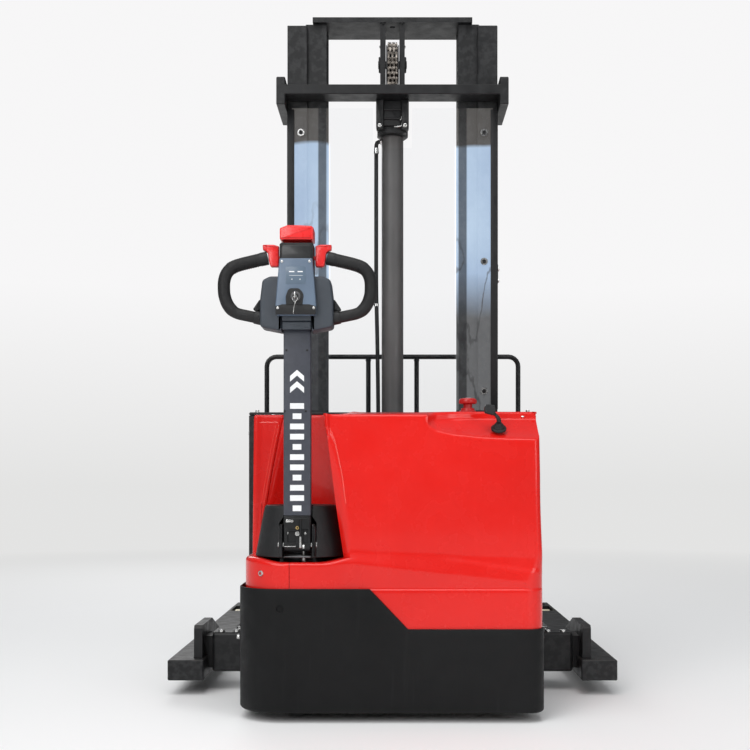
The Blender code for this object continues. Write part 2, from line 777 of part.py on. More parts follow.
def tiller_arm():
    y = TILLER_AXIS.y
    foot = TILLER_PIVOT_Z
    side = arc((y, foot), TILLER_HALF_THICK, 180, 360, 8)
    side += [(y + TILLER_HALF_THICK, TILLER_TOP), (y - TILLER_HALF_THICK, TILLER_TOP)]
    arm = prism(side, "X", STEER_X - TILLER_HALF_WIDTH, STEER_X + TILLER_HALF_WIDTH)
    bevel(arm, 0.003)
    baked(arm)
    cut(arm, rod(TILLER_AXIS - Vector((0.1, 0, 0)), TILLER_AXIS + Vector((0.1, 0, 0)), 0.0085, 20))
    return link(arm, "tiller_arm", grey_steel("tiller_steel"), "pivot_tiller")


def head_shroud():
    """The control head's housing round the top of the arm."""
    right = [(0.038, 1.036), (0.097, 1.048), (0.097, 1.120), (0.090, 1.178)]
    outline = [(STEER_X + x, z) for x, z in right + mirror_outline(right)]
    back, front = ahead(HEAD_FACE), ahead(0.056)
    housing = bevel(prism(outline, "Y", back, front), 0.008, 2)
    baked(housing)
    y = TILLER_AXIS.y
    width = TILLER_HALF_WIDTH + GAP
    thick = TILLER_HALF_THICK + GAP
    cut(housing, block((STEER_X - width, y - thick, 1.0), (STEER_X + width, y + thick, TILLER_TOP + GAP)))
    return link(housing, "head_shroud", grey_steel("shroud_plastic"), "pivot_tiller")


def head_neck():
    """Black block over the housing; its narrow top guides the red button."""
    y = ahead(0.0)
    neck = block((STEER_X - 0.045, y - 0.018, 1.1785), (STEER_X + 0.045, y + 0.046, 1.2720))
    bevel(neck, 0.004)
    baked(neck)
    join(neck, block((STEER_X - 0.038, y - 0.010, 1.2600), (STEER_X + 0.038, y + 0.038, 1.2960)))
    centre = Vector((STEER_X, ahead(THROTTLE_DEPTH), THROTTLE_Z))
    cut(neck, rod(centre - Vector((0.2, 0, 0)), centre + Vector((0.2, 0, 0)), 0.0065, 16))
    return link(neck, "head_neck", black_plastic("neck_plastic"), "pivot_tiller")


def control_panel():
    """Blue-grey panel on the operator's side, with the key switch's barrel."""
    face, back = ahead(-0.040), ahead(HEAD_FACE) - GAP
    right = [(0.052, 1.076), (0.053, 1.110), (0.043, 1.2275)]
    outline = [(STEER_X + x, z) for x, z in right + mirror_outline(right)]
    panel = bevel(prism(outline, "Y", face, back), 0.004)
    baked(panel)
    join(panel, rod((STEER_X, face - 0.004, KEY_Z), (STEER_X, face + 0.003, KEY_Z), 0.0225, 28))
    return link(panel, "control_panel", finish("panel_plastic", (0.14, 0.20, 0.28), 0.45), "pivot_tiller")


def handles():
    """The two closed grip loops, bent from round bar."""
    y = ahead(THROTTLE_DEPTH)
    line = [(0.080, 1.2295), (0.168, 1.2085)]
    line += arc((0.160, 1.1745), 0.0345, 68, 8, 4)
    line += [(0.1945, 1.140)]
    line += arc((0.1545, 1.1270), 0.0395, -4, -72, 4)
    line += [(0.104, 1.0720)]
    for side, name in ((-1, "handle_left"), (1, "handle_right")):
        points = [(STEER_X + side * x, y, z) for x, z in line]
        loop = tube(points, 0.0168, 3)
        link(loop, name, black_plastic(name + "_rubber"), "pivot_tiller")


def throttles():
    """Two wings on one cross shaft, turned by the thumbs."""
    centre = Vector((STEER_X, ahead(THROTTLE_DEPTH), THROTTLE_Z))
    right = [(0.048, 1.205), (0.072, 1.205), (0.077, 1.2465), (0.0915, 1.252), (0.0915, 1.2645),
             (0.048, 1.2645)]
    for side, name in ((-1, "throttle_left"), (1, "throttle_right")):
        shape = right if side > 0 else mirror_outline(right)
        wing = prism([(STEER_X + x, z) for x, z in shape], "Y", centre.y - 0.011, centre.y + 0.011)
        bevel(wing, 0.002)
        baked(wing)
        inner = centre + Vector((side * 0.001, 0, 0))
        outer = centre + Vector((side * 0.060, 0, 0))
        join(wing, rod(inner, outer, 0.0060, 16))
        link(wing, name, finish(name + "_red", (0.78, 0.03, 0.02), 0.3), "pivot_throttle")


def belly_button():
    """Red safety button on top of the head; it slides down over the neck."""
    y = ahead(0.0)
    top = [(-0.0445, 1.2785), (0.0445, 1.2785), (0.0445, 1.3060), (0.030, 1.3140), (0.0, 1.3170),
           (-0.030, 1.3140), (-0.0445, 1.3060)]
    cap = prism([(STEER_X + x, z) for x, z in top], "Y", y - 0.024, y + 0.050)
    bevel(cap, 0.004)
    baked(cap)
    cut(cap, block((STEER_X - 0.0395, y - 0.012, 1.2), (STEER_X + 0.0395, y + 0.040, 1.3040)))
    return link(cap, "belly_button", finish("belly_red", (0.78, 0.03, 0.02), 0.3), "pivot_belly")


def key():
    face = ahead(-0.040) - 0.004 - GAP
    stem = rod((STEER_X, face, KEY_Z), (STEER_X, face - 0.012, KEY_Z), 0.0065, 16)
    join(stem, block((STEER_X - 0.0015, ahead(-KEY_REACH), KEY_Z - 0.010),
                     (STEER_X + 0.0015, face - 0.010, KEY_Z + 0.010)))
    return link(stem, "key", bright_steel("key_steel"), "pivot_key")


# ---------------------------------------------------------------- lifting parts

def inner_channels():
    for side, name in ((-1, "inner_channel_left"), (1, "inner_channel_right")):
        section = channel(side, INNER_OUTER, INNER_INNER, INNER_DEPTH, 0.010, 0.010, INNER_FOOT, INNER_TOP)
        link(bevel(section, 0.002), name, black_steel(name + "_steel"), "pivot_lift")


def inner_top_plate():
    """Top tie of the inner mast with the chain wheel's bracket and axle."""
    z = INNER_TOP + GAP
    plate = block((-0.253, ahead(0.600), z), (0.253, ahead(0.745), CLOSED_HEIGHT))
    cut(plate, rod((0, CYLINDER_Y - 0.010, 2.0), (0, CYLINDER_Y - 0.010, 2.2), 0.009, 16))
    back, front = ahead(0.604), ahead(0.690)
    for side in (-1, 1):
        low, high = sorted((side * 0.0220, side * 0.0390))
        join(plate, block((low, back, 1.845), (high, front, z + 0.004)))
    join(plate, block((-0.025, ahead(0.628), 1.848), (0.025, ahead(0.672), 1.880)))
    axle = rod((-0.046, CYLINDER_Y, SHEAVE_Z), (0.046, CYLINDER_Y, SHEAVE_Z), 0.0120, 20)
    join(plate, axle)
    return link(plate, "inner_top_plate", black_steel("top_plate_steel"), "pivot_lift")


def piston_rod():
    """Chromed rod with the piston at its foot; the piston stays below the gland at full lift."""
    foot, crown = 0.300, 0.330
    profile = [(0.0, foot), (0.0272, foot), (0.0272, crown), (0.0190, crown), (0.0190, 1.8475), (0.0, 1.8475)]
    piston = turned(profile, (0.0, CYLINDER_Y, 0.0), "Z", 24)
    return link(piston, "piston_rod", bright_steel("piston_chrome"), "pivot_lift")


def chain_sheave():
    rim = SHEAVE_PITCH - CHAIN_HALF_THICK - GAP
    half = 0.0205
    profile = [
        (0.0125, -half), (0.0125, half), (rim + 0.006, half), (rim + 0.005, CHAIN_HALF_WIDTH + 0.001),
        (rim, CHAIN_HALF_WIDTH + 0.001), (rim, -CHAIN_HALF_WIDTH - 0.001),
        (rim + 0.005, -CHAIN_HALF_WIDTH - 0.001), (rim + 0.006, -half),
    ]
    wheel = turned(profile, (0.0, CYLINDER_Y, SHEAVE_Z), "X", 32)
    return link(wheel, "chain_sheave", cast_metal("sheave_metal"), "pivot_sheave")


def chains():
    """Leaf chain: the arc over the wheel, the short run to the outer mast, the run to the forks."""
    steel = (0.35, 0.33, 0.30)
    back, front = CYLINDER_Y - SHEAVE_PITCH, CYLINDER_Y + SHEAVE_PITCH
    outer = arc((CYLINDER_Y, SHEAVE_Z), SHEAVE_PITCH + CHAIN_HALF_THICK, 180, 0, 16)
    inner = arc((CYLINDER_Y, SHEAVE_Z), SHEAVE_PITCH - CHAIN_HALF_THICK, 0, 180, 16)
    wrap = prism(outer + inner, "X", -CHAIN_HALF_WIDTH, CHAIN_HALF_WIDTH)
    link(wrap, "chain_wrap", finish("chain_wrap_steel", steel, 0.4, 0.9), "pivot_lift")
    rear_run = block((-CHAIN_HALF_WIDTH, back - CHAIN_HALF_THICK, 1.8675),
                     (CHAIN_HALF_WIDTH, back + CHAIN_HALF_THICK, SHEAVE_Z - GAP))
    link(rear_run, "chain_rear_run", finish("chain_rear_steel", steel, 0.4, 0.9))
    front_run = block((-CHAIN_HALF_WIDTH, front - CHAIN_HALF_THICK, 0.4305),
                      (CHAIN_HALF_WIDTH, front + CHAIN_HALF_THICK, SHEAVE_Z - GAP))
    link(front_run, "chain_front_run", finish("chain_front_steel", steel, 0.4, 0.9), "pivot_lift")


def carriage_frame():
    """Two fork bars, two roller plates and the chain's lug."""
    back, front = (ahead(d) for d in BAR_DEPTH)
    frame = block((-BAR_HALF, back, UPPER_BAR[0]), (BAR_HALF, front, UPPER_BAR[1]))
    join(frame, block((-BAR_HALF, back, LOWER_BAR[0]), (BAR_HALF, front, LOWER_BAR[1])))
    plate = [(ahead(0.640), 0.110), (back + 0.010, 0.088), (back + 0.010, 0.470), (ahead(0.640), 0.440)]
    for side in (-1, 1):
        low, high = sorted((side * 0.186, side * 0.204))
        join(frame, prism(plate, "X", low, high))
        for z in ROLLER_HEIGHTS:
            y = (ahead(INNER_DEPTH[0]) + ahead(INNER_DEPTH[1])) / 2
            join(frame, rod((side * 0.195, y, z), (side * 0.2560, y, z), 0.0100, 16))
    join(frame, block((-0.030, ahead(0.702), 0.395), (0.030, back + 0.005, 0.430)))
    join(frame, block((-0.030, back, 0.100), (0.030, back + 0.016, 0.450)))
    return link(frame, "carriage_frame", black_steel("carriage_steel"), "pivot_carriage")


def carriage_rollers():
    y = (ahead(INNER_DEPTH[0]) + ahead(INNER_DEPTH[1])) / 2
    names = {(-1, 0): "roller_left_lower", (1, 0): "roller_right_lower",
             (-1, 1): "roller_left_upper", (1, 1): "roller_right_upper"}
    for (side, level), name in names.items():
        z = ROLLER_HEIGHTS[level]
        profile = [(0.0105, -0.016), (0.0105, 0.016), (ROLLER_RADIUS - 0.002, 0.016),
                   (ROLLER_RADIUS, 0.013), (ROLLER_RADIUS, -0.013), (ROLLER_RADIUS - 0.002, -0.016)]
        roller = turned(profile, (side * 0.2350, y, z), "X", 24)
        link(roller, name, bright_steel(name + "_steel"), "pivot_" + name)


def load_backrest():
    """Welded round-bar guard above the fork bars."""
    y = (ahead(BAR_DEPTH[0]) + ahead(BAR_DEPTH[1])) / 2
    foot = UPPER_BAR[1] + GAP
    bend = 0.032
    right = [(BACKREST_HALF, foot)] + arc((BACKREST_HALF - bend, BACKREST_TOP - bend), bend, 0, 90, 5)
    left = [(-x, z) for x, z in reversed(right)]
    guard = tube([(x, y, z) for x, z in right + left], 0.0080)
    for x in (-BACKREST_BARS, BACKREST_BARS):
        join(guard, rod((x, y, foot), (x, y, BACKREST_TOP), 0.0078, 12))
    return link(guard, "load_backrest", black_steel("backrest_steel"), "pivot_carriage")


def forks():
    """Hooked forks that slide sideways along the bars."""
    face = ahead(BAR_DEPTH[1])
    y = face + GAP
    tip = ahead(FORK_TIP_DEPTH)
    top = UPPER_BAR[1]
    outline = [
        (y, top + GAP), (face - 0.012, top + GAP), (face - 0.012, top + 0.014), (y + 0.024, top + 0.014),
        (y + 0.040, top - 0.010), (y + 0.040, 0.092), (y + 0.052, 0.080), (tip - 0.35, 0.080),
        (tip, 0.060), (tip, 0.048), (tip - 0.20, 0.045), (y, 0.045),
    ]
    for side, name in ((-1, "fork_left"), (1, "fork_right")):
        fork = prism(outline, "X", side * FORK_X - FORK_HALF, side * FORK_X + FORK_HALF)
        link(fork, name, black_steel(name + "_steel"), "pivot_" + name)


# ---------------------------------------------------------------- legs and wheels

def legs():
    """Straddle legs: the low beam, its upright plate and the beam that slides in the cross tube."""
    back, front = (ahead(d) for d in LEG_DEPTH)
    wheel_y = ahead(WHEEL_DEPTH)
    for side, name in ((-1, "leg_left"), (1, "leg_right")):
        def span(a, b):
            return sorted((side * a, side * b))
        low, high = span(LEG_INNER, LEG_OUTER)
        leg = bevel(block((low, back, LEG_Z[0]), (high, front, LEG_Z[1])), 0.003)
        baked(leg)
        low, high = span(LEG_INNER + 0.010, LEG_OUTER - 0.010)
        cut(leg, block((low, back + 0.012, 0.0), (high, wheel_y - 0.110, LEG_Z[1] - 0.012)))
        cut(leg, block((low + 0.003, wheel_y - 0.085, 0.0), (high - 0.003, wheel_y + 0.085, 0.2)))
        plate = [(ahead(0.400), 0.100), (ahead(0.400), 0.196), (ahead(0.409), 0.205),
                 (ahead(0.590), 0.205), (ahead(0.880), 0.106), (ahead(0.880), 0.100)]
        low, high = span(0.569, 0.594)
        join(leg, prism(plate, "X", low, high))
        low, high = span(0.200, 0.575)
        clear = TUBE_WALL + 0.001
        beam = block((low, ahead(TUBE_DEPTH[0]) + clear, TUBE_Z[0] + clear),
                     (high, ahead(TUBE_DEPTH[1]) - clear, TUBE_Z[1] - clear))
        low, high = span(0.190, 0.560)
        wall = clear + 0.010
        cut(beam, block((low, ahead(TUBE_DEPTH[0]) + wall, TUBE_Z[0] + wall),
                        (high, ahead(TUBE_DEPTH[1]) - wall, TUBE_Z[1] - wall)))
        join(leg, beam)
        low, high = span(LEG_INNER + 0.004, LEG_OUTER - 0.004)
        join(leg, rod((low, wheel_y, WHEEL_RADIUS), (high, wheel_y, WHEEL_RADIUS), 0.0100, 16))
        link(leg, name, black_steel(name + "_steel"), "pivot_" + name)


def load_wheels():
    middle = (LEG_INNER + LEG_OUTER) / 2
    for side, name in ((-1, "load_wheel_left"), (1, "load_wheel_right")):
        profile = [(0.0105, -0.034), (0.0105, 0.034), (WHEEL_RADIUS - 0.004, 0.034),
                   (WHEEL_RADIUS, 0.030), (WHEEL_RADIUS, -0.030), (WHEEL_RADIUS - 0.004, -0.034)]
        wheel = turned(profile, (side * middle, ahead(WHEEL_DEPTH), WHEEL_RADIUS), "X", 40)
        link(wheel, name, finish(name + "_polyurethane", (0.70, 0.66, 0.50), 0.5), "pivot_" + name)


def caster():
    """Swivel caster under the right side that steadies the truck."""
    y = ahead(CASTER_DEPTH)
    wheel_y = y + CASTER_TRAIL
    body = rod((CASTER_X, y, 0.158), (CASTER_X, y, 0.1745), 0.040, 24)
    join(body, block((CASTER_X - 0.037, y - 0.025, 0.136), (CASTER_X + 0.037, wheel_y, 0.162)))
    for side in (-1, 1):
        low, high = sorted((CASTER_X + side * 0.026, CASTER_X + side * 0.037))
        cheek = [(y - 0.025, 0.145), (wheel_y - 0.020, 0.045), (wheel_y + 0.020, 0.045), (wheel_y + 0.010, 0.145)]
        join(body, prism(cheek, "X", low, high))
    join(body, rod((CASTER_X - 0.034, wheel_y, CASTER_RADIUS), (CASTER_X + 0.034, wheel_y, CASTER_RADIUS), 0.0080, 16))
    link(body, "caster_fork", black_steel("caster_steel"), "pivot_caster")
    profile = [(0.0085, -0.024), (0.0085, 0.024), (CASTER_RADIUS - 0.005, 0.024),
               (CASTER_RADIUS, 0.018), (CASTER_RADIUS, -0.018), (CASTER_RADIUS - 0.005, -0.024)]
    wheel = turned(profile, (CASTER_X, wheel_y, CASTER_RADIUS), "X", 36)
    link(wheel, "caster_wheel", finish("caster_tyre", (0.05, 0.05, 0.05), 0.6), "pivot_caster_wheel")


# ---------------------------------------------------------------- assembly

def add_pivots():
    """One empty for each moving group, on its joint's axis."""
    roller_y = (ahead(INNER_DEPTH[0]) + ahead(INNER_DEPTH[1])) / 2
    leg_middle = (LEG_INNER + LEG_OUTER) / 2
    add_pivot("pivot_steer", (STEER_X, STEER_Y, DECK_Z[1]))
    add_pivot("pivot_drive_wheel", (STEER_X, STEER_Y, DRIVE_RADIUS), "pivot_steer")
    add_pivot("pivot_tiller", TILLER_AXIS, "pivot_steer")
    add_pivot("pivot_throttle", (STEER_X, ahead(THROTTLE_DEPTH), THROTTLE_Z), "pivot_tiller")
    add_pivot("pivot_belly", (STEER_X, ahead(0.013), 1.30), "pivot_tiller")
    add_pivot("pivot_key", (STEER_X, ahead(-0.044), KEY_Z), "pivot_tiller")
    add_pivot("pivot_lift", (0.0, CYLINDER_Y, INNER_FOOT))
    add_pivot("pivot_sheave", (0.0, CYLINDER_Y, SHEAVE_Z), "pivot_lift")
    add_pivot("pivot_carriage", (0.0, roller_y, LOWER_BAR[0]), "pivot_lift")
    for side, label in ((-1, "left"), (1, "right")):
        for z, level in zip(ROLLER_HEIGHTS, ("lower", "upper")):
            add_pivot(f"pivot_roller_{label}_{level}", (side * 0.235, roller_y, z), "pivot_carriage")
        add_pivot("pivot_fork_" + label, (side * FORK_X, ahead(BAR_DEPTH[1]), LOWER_BAR[0]), "pivot_carriage")
        add_pivot("pivot_leg_" + label, (side * leg_middle, ahead(TUBE_DEPTH[0]), LEG_Z[0]))
        add_pivot("pivot_load_wheel_" + label, (side * leg_middle, ahead(WHEEL_DEPTH), WHEEL_RADIUS),
                  "pivot_leg_" + label)
    add_pivot("pivot_caster", (CASTER_X, ahead(CASTER_DEPTH), 0.175))
    add_pivot("pivot_caster_wheel", (CASTER_X, ahead(CASTER_DEPTH + CASTER_TRAIL), CASTER_RADIUS), "pivot_caster")


def build():
    add_pivots()
    for make in (
        lower_skirt, hood, corner_cover, chassis_frame, battery_cover, battery, pump_unit,
        motor_controller, cross_tube, mast_channels, mast_crossmember, mast_foot, guard_shield,
        lift_cylinder, cylinder_clamp, hydraulic_hose, estop, valve_lever, drive_gearbox,
        traction_motor, drive_wheel, cone_cover, tiller_bracket, gas_spring, tiller_pin, tiller_arm,
        head_shroud, head_neck, control_panel, handles, throttles, belly_button, key,
        inner_channels, inner_top_plate, piston_rod, chain_sheave, chains, carriage_frame,
        carriage_rollers, load_backrest, forks, legs, load_wheels, caster,
    ):
        make()


build()
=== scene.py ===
"""Visual model of the walkie stacker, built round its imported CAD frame.

The sections run from shapes and materials through the parts of the truck to the floor, light and camera.

Lengths are metres. +Y points to the forks, -Y to the operator, +X to the operator's right.
A depth is a distance ahead of the red hood's rear face.
"""

import json
import math

import bmesh
import bpy
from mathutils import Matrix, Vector
from mathutils.geometry import delaunay_2d_cdt

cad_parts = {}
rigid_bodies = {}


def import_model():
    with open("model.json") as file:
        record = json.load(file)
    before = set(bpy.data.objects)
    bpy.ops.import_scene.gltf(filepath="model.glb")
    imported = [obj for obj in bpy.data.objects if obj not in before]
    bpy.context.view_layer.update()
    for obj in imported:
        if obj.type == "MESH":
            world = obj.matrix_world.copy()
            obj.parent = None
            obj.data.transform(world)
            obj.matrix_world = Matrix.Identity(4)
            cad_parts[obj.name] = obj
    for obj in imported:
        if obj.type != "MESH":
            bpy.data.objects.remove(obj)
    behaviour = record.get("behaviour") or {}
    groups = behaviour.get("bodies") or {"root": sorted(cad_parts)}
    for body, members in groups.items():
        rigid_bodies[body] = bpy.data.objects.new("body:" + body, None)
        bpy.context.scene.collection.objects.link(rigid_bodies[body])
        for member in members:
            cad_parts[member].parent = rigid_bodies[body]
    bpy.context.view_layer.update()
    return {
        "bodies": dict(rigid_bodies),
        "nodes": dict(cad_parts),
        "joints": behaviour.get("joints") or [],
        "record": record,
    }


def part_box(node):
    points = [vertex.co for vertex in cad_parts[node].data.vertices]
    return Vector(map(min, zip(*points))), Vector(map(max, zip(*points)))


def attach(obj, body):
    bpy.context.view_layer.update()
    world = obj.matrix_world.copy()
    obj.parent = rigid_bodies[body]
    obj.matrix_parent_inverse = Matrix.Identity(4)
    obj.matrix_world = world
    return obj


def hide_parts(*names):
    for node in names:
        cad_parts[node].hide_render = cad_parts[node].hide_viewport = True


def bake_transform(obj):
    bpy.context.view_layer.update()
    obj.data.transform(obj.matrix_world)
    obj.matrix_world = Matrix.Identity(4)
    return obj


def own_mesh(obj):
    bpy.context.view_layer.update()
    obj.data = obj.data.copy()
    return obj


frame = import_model()
NODES = frame["nodes"]
JOINTS = {j["name"]: j for j in frame["record"]["behaviour"]["joints"]}
SCENE = bpy.context.scene
UP, FORWARD, REARWARD, ACROSS = (0, 0, 1), (0, 1, 0), (0, -1, 0), (1, 0, 0)
BOXES = {name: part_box(name) for name in NODES}


def low(node):
    return BOXES[node][0]


def high(node):
    return BOXES[node][1]


def middle(node):
    return (low(node) + high(node)) / 2


def ahead(depth):
    return low("hood").y + depth


# ---------------------------------------------------------------- shapes

def smoothstep(t):
    t = min(max(t, 0.0), 1.0)
    return t * t * (3 - 2 * t)


def steps(table, x):
    """Straight-line interpolation in a list of (x, value) pairs."""
    if x <= table[0][0]:
        return table[0][1]
    for (x0, a), (x1, b) in zip(table, table[1:]):
        if x <= x1:
            return a + (b - a) * (x - x0) / (x1 - x0)
    return table[-1][1]


def arc(centre, radius, start, end, count):
    """count + 1 points on an arc; the angles are in degrees."""
    angles = [math.radians(start + (end - start) * i / count) for i in range(count + 1)]
    return [(centre[0] + radius * math.cos(a), centre[1] + radius * math.sin(a)) for a in angles]


def filleted(corners, radius, count=5):
    """A closed outline with its corners rounded; radius is one number or one for each corner."""
    radii = radius if isinstance(radius, (list, tuple)) else [radius] * len(corners)
    outline = []
    for i, (corner, r) in enumerate(zip(corners, radii)):
        here = Vector(corner)
        before = Vector(corners[i - 1]) - here
        after = Vector(corners[(i + 1) % len(corners)]) - here
        half = before.angle(after) / 2
        reach = r / math.tan(half) if 0.01 < half < 1.56 else 0.0
        reach = min(reach, before.length * 0.49, after.length * 0.49)
        if reach < 1e-5:
            outline.append(tuple(here))
            continue
        start, end = here + before.normalized() * reach, here + after.normalized() * reach
        for k in range(count + 1):
            t = k / count
            outline.append(tuple(start * (1 - t) ** 2 + here * 2 * t * (1 - t) + end * t * t))
    return outline


def rect(x0, y0, x1, y1):
    return [(x0, y0), (x1, y0), (x1, y1), (x0, y1)]


def balanced(right):
    """A closed outline from its right half, which runs from the foot up."""
    foot, *upper = right
    return [(-foot[0], foot[1]), foot] + upper + [(-x, z) for x, z in reversed(upper)]


def both_ways(half):
    """Half a turned profile, and its mirror image."""
    return half + [(x, -y) for x, y in reversed(half)]


def steered(points, side=1):
    """Points given from the steering axis; side -1 mirrors them."""
    return [(STEER.x + side * x, z) for x, z in points]


def inset(outline, amount):
    """A closed outline moved inwards by amount."""
    count = len(outline)
    area = sum(outline[i - 1][0] * outline[i][1] - outline[i][0] * outline[i - 1][1] for i in range(count))
    turn = 1.0 if area > 0 else -1.0
    moved = []
    for i in range(count):
        a, b, c = (Vector(outline[j % count]) for j in (i - 1, i, i + 1))
        first = (b - a).normalized() if (b - a).length > 1e-9 else (c - b).normalized()
        second = (c - b).normalized() if (c - b).length > 1e-9 else first
        n0 = Vector((-first.y, first.x)) * turn
        n1 = Vector((-second.y, second.x)) * turn
        n = n0 + n1
        n = n.normalized() if n.length > 1e-6 else n0
        stretch = 1.0 / max(n.dot(n0), 0.5)
        moved.append(tuple(b + n * amount * stretch))
    return moved


def curve(points, count):
    """A smooth path through the points, as count + 1 evenly spaced ones."""
    pts = [Vector(p) for p in points]
    pts = [2 * pts[0] - pts[1]] + pts + [2 * pts[-1] - pts[-2]]
    fine = []
    for p0, p1, p2, p3 in zip(pts, pts[1:], pts[2:], pts[3:]):
        for k in range(24):
            t = k / 24
            fine.append(0.5 * (2 * p1 + (p2 - p0) * t + (2 * p0 - 5 * p1 + 4 * p2 - p3) * t * t
                    + (3 * p1 - p0 - 3 * p2 + p3) * t ** 3))
    fine.append(pts[-2])
    lengths = [0.0]
    for a, b in zip(fine, fine[1:]):
        lengths.append(lengths[-1] + (b - a).length)
    result = []
    j = 0
    for i in range(count + 1):
        want = lengths[-1] * i / count
        while j < len(lengths) - 2 and lengths[j + 1] < want:
            j += 1
        span = lengths[j + 1] - lengths[j]
        result.append(fine[j].lerp(fine[j + 1], (want - lengths[j]) / span if span else 0.0))
    return result


class Shape:
    """Collects closed bodies, then becomes one piece."""

    def __init__(self):
        self.bm = bmesh.new()

    def rings(self, rings, caps=True, wrap=False):
        """Quads between rings of points. wrap joins the last ring to the first."""
        loops = [[self.bm.verts.new(p) for p in ring] for ring in rings]
        pairs = list(zip(loops, loops[1:]))
        if wrap:
            pairs.append((loops[-1], loops[0]))
        for a, b in pairs:
            for i in range(len(a)):
                j = (i + 1) % len(a)
                self.bm.faces.new((a[i], a[j], b[j], b[i]))
        if caps and not wrap:
            self.bm.faces.new(list(reversed(loops[0])))
            self.bm.faces.new(loops[-1])
        return self

    def box(self, a, b):
        x0, y0, z0 = map(min, a, b)
        x1, y1, z1 = map(max, a, b)
        flat = rect(x0, y0, x1, y1)
        return self.rings([[(x, y, z) for x, y in flat] for z in (z0, z1)])

    def slab(self, outline, axis, start, end, soft=0.0, count=3, both=True):
        """An outline pushed along an axis, its rims rounded by soft."""
        place = {"X": lambda p, t: (t, p[0], p[1]), "Y": lambda p, t: (p[0], t, p[1]), "Z": lambda p,
                t: (p[0], p[1], t)}[axis]
        sign = 1.0 if end > start else -1.0
        cuts = []
        for k in range(count + 1):
            a = math.pi / 2 * k / count
            cuts.append((soft * (1 - math.sin(a)), soft * (1 - math.cos(a))))
        layers = [(start + sign * run, pull) for pull, run in cuts] if soft and both else [(start, 0.0)]
        layers += [(end - sign * run, pull) for pull, run in reversed(cuts)] if soft else [(end, 0.0)]
        return self.rings([[place(p, t) for p in inset(outline, pull)] for t, pull in layers])

    def lathe(self, profile, at, toward=(0, 0, 1), count=40, closed=False):
        """Turns (radius, height) pairs about an axis. A radius of zero closes the end."""
        turn = Vector(toward).to_track_quat("Z", "Y").to_matrix()
        at = Vector(at)
        loops = []
        for radius, height in profile:
            if radius < 1e-7:
                loops.append([self.bm.verts.new(at + turn @ Vector((0, 0, height)))])
                continue
            loops.append([self.bm.verts.new(at + turn @ Vector((radius * math.cos(2 * math.pi * i / count),
                    radius * math.sin(2 * math.pi * i / count), height))) for i in range(count)])
        pairs = list(zip(loops, loops[1:]))
        if closed:
            pairs.append((loops[-1], loops[0]))
        for a, b in pairs:
            for i in range(count):
                j = (i + 1) % count
                if len(a) == 1 and len(b) > 1:
                    self.bm.faces.new((a[0], b[j], b[i]))
                elif len(b) == 1 and len(a) > 1:
                    self.bm.faces.new((a[i], a[j], b[0]))
                elif len(a) > 1:
                    self.bm.faces.new((a[i], a[j], b[j], b[i]))
        return self

    def rod(self, start, end, radius, soft=0.0008, count=20):
        """A round bar with softened ends."""
        length = (Vector(end) - Vector(start)).length
        soft = min(soft, radius * 0.4, length * 0.4)
        profile = [(0, 0), (radius - soft, 0), (radius, soft), (radius, length - soft),
                (radius - soft, length), (0, length)]
        return self.lathe(profile, start, Vector(end) - Vector(start), count)

    def sweep(self, path, radius, count=16, flat=1.0):
        """A round section along a path. radius is a number or one for each point."""
        radii = radius if isinstance(radius, (list, tuple)) else [radius] * len(path)
        tangent = (path[1] - path[0]).normalized()
        side = tangent.orthogonal().normalized()
        rings = []
        for i, point in enumerate(path):
            new = (path[min(i + 1, len(path) - 1)] - path[max(i - 1, 0)]).normalized()
            side = (tangent.rotation_difference(new) @ side).normalized()
            tangent = new
            up = tangent.cross(side)
            rings.append([point + (side * math.cos(2 * math.pi * k / count)
                    + up * math.sin(2 * math.pi * k / count) * flat) * radii[i] for k in range(count)])
        return self.rings(rings)

    def weld(self, points, count, radius=0.0024, swell=0.0005, wave=2.0):
        """A bead along a path, its ripples swelling it."""
        return self.sweep(curve(points, count), [radius + swell * math.sin(i * wave)
                for i in range(count + 1)], 8)

    def bolt(self, at, toward, size=0.01, kind="hex", washer=True):
        """A bolt head on a surface: hex with a washer, or a round socket or cross-slot head."""
        at, toward = Vector(at), Vector(toward).normalized()
        if washer:
            w = size * 0.16
            self.lathe([(0, 0), (size * 1.02, 0), (size * 1.08, w * 0.3), (size * 1.02, w), (0, w)], at,
                    toward, 24)
            at = at + toward * w
        if kind == "hex":
            h = size * 0.55
            self.lathe([(0, 0), (size * 0.92, 0), (size, h * 0.08), (size, h * 0.85), (size * 0.86, h),
                    (0, h)], at, toward, 6)
            self.lathe([(0, 0), (size * 0.6, 0), (size * 0.54, h * 0.12), (0, h * 0.12)], at + toward * h,
                    toward, 16)
        elif kind == "socket":
            h = size * 0.9
            self.lathe([(0, 0), (size * 0.8, 0), (size * 0.8, h * 0.85), (size * 0.72, h), (size * 0.42, h),
                    (size * 0.42, h * 0.45), (0, h * 0.4)], at, toward, 24)
        else:
            h = size * 0.4
            self.lathe([(0, 0), (size * 0.9, 0), (size * 0.88, h * 0.45), (size * 0.62, h * 0.9),
                    (size * 0.3, h), (size * 0.24, h * 0.55), (0, h * 0.5)], at, toward, 24)
        return self

    def piece(self, name, body, material, stands_for=None, slot=None, edge=0.0, smooth=35.0, cuts=()):
        """Ends the shape: one object that rides on a CAD body."""
        bmesh.ops.recalc_face_normals(self.bm, faces=self.bm.faces)
        obj = new_object(name, self.bm)
        for tool in cuts:
            carve(obj, tool)
        return finished(obj, body, material, stands_for, edge, smooth)


def soften(obj, edge, count=2, angle=32.0):
    """Rounds an object's hard edges."""
    bevel = obj.modifiers.new("edges", "BEVEL")
    bevel.width = edge
    bevel.segments = count
    bevel.limit_method = "ANGLE"
    bevel.angle_limit = math.radians(angle)
    bevel.harden_normals = True
    bevel.miter_outer = "MITER_ARC"


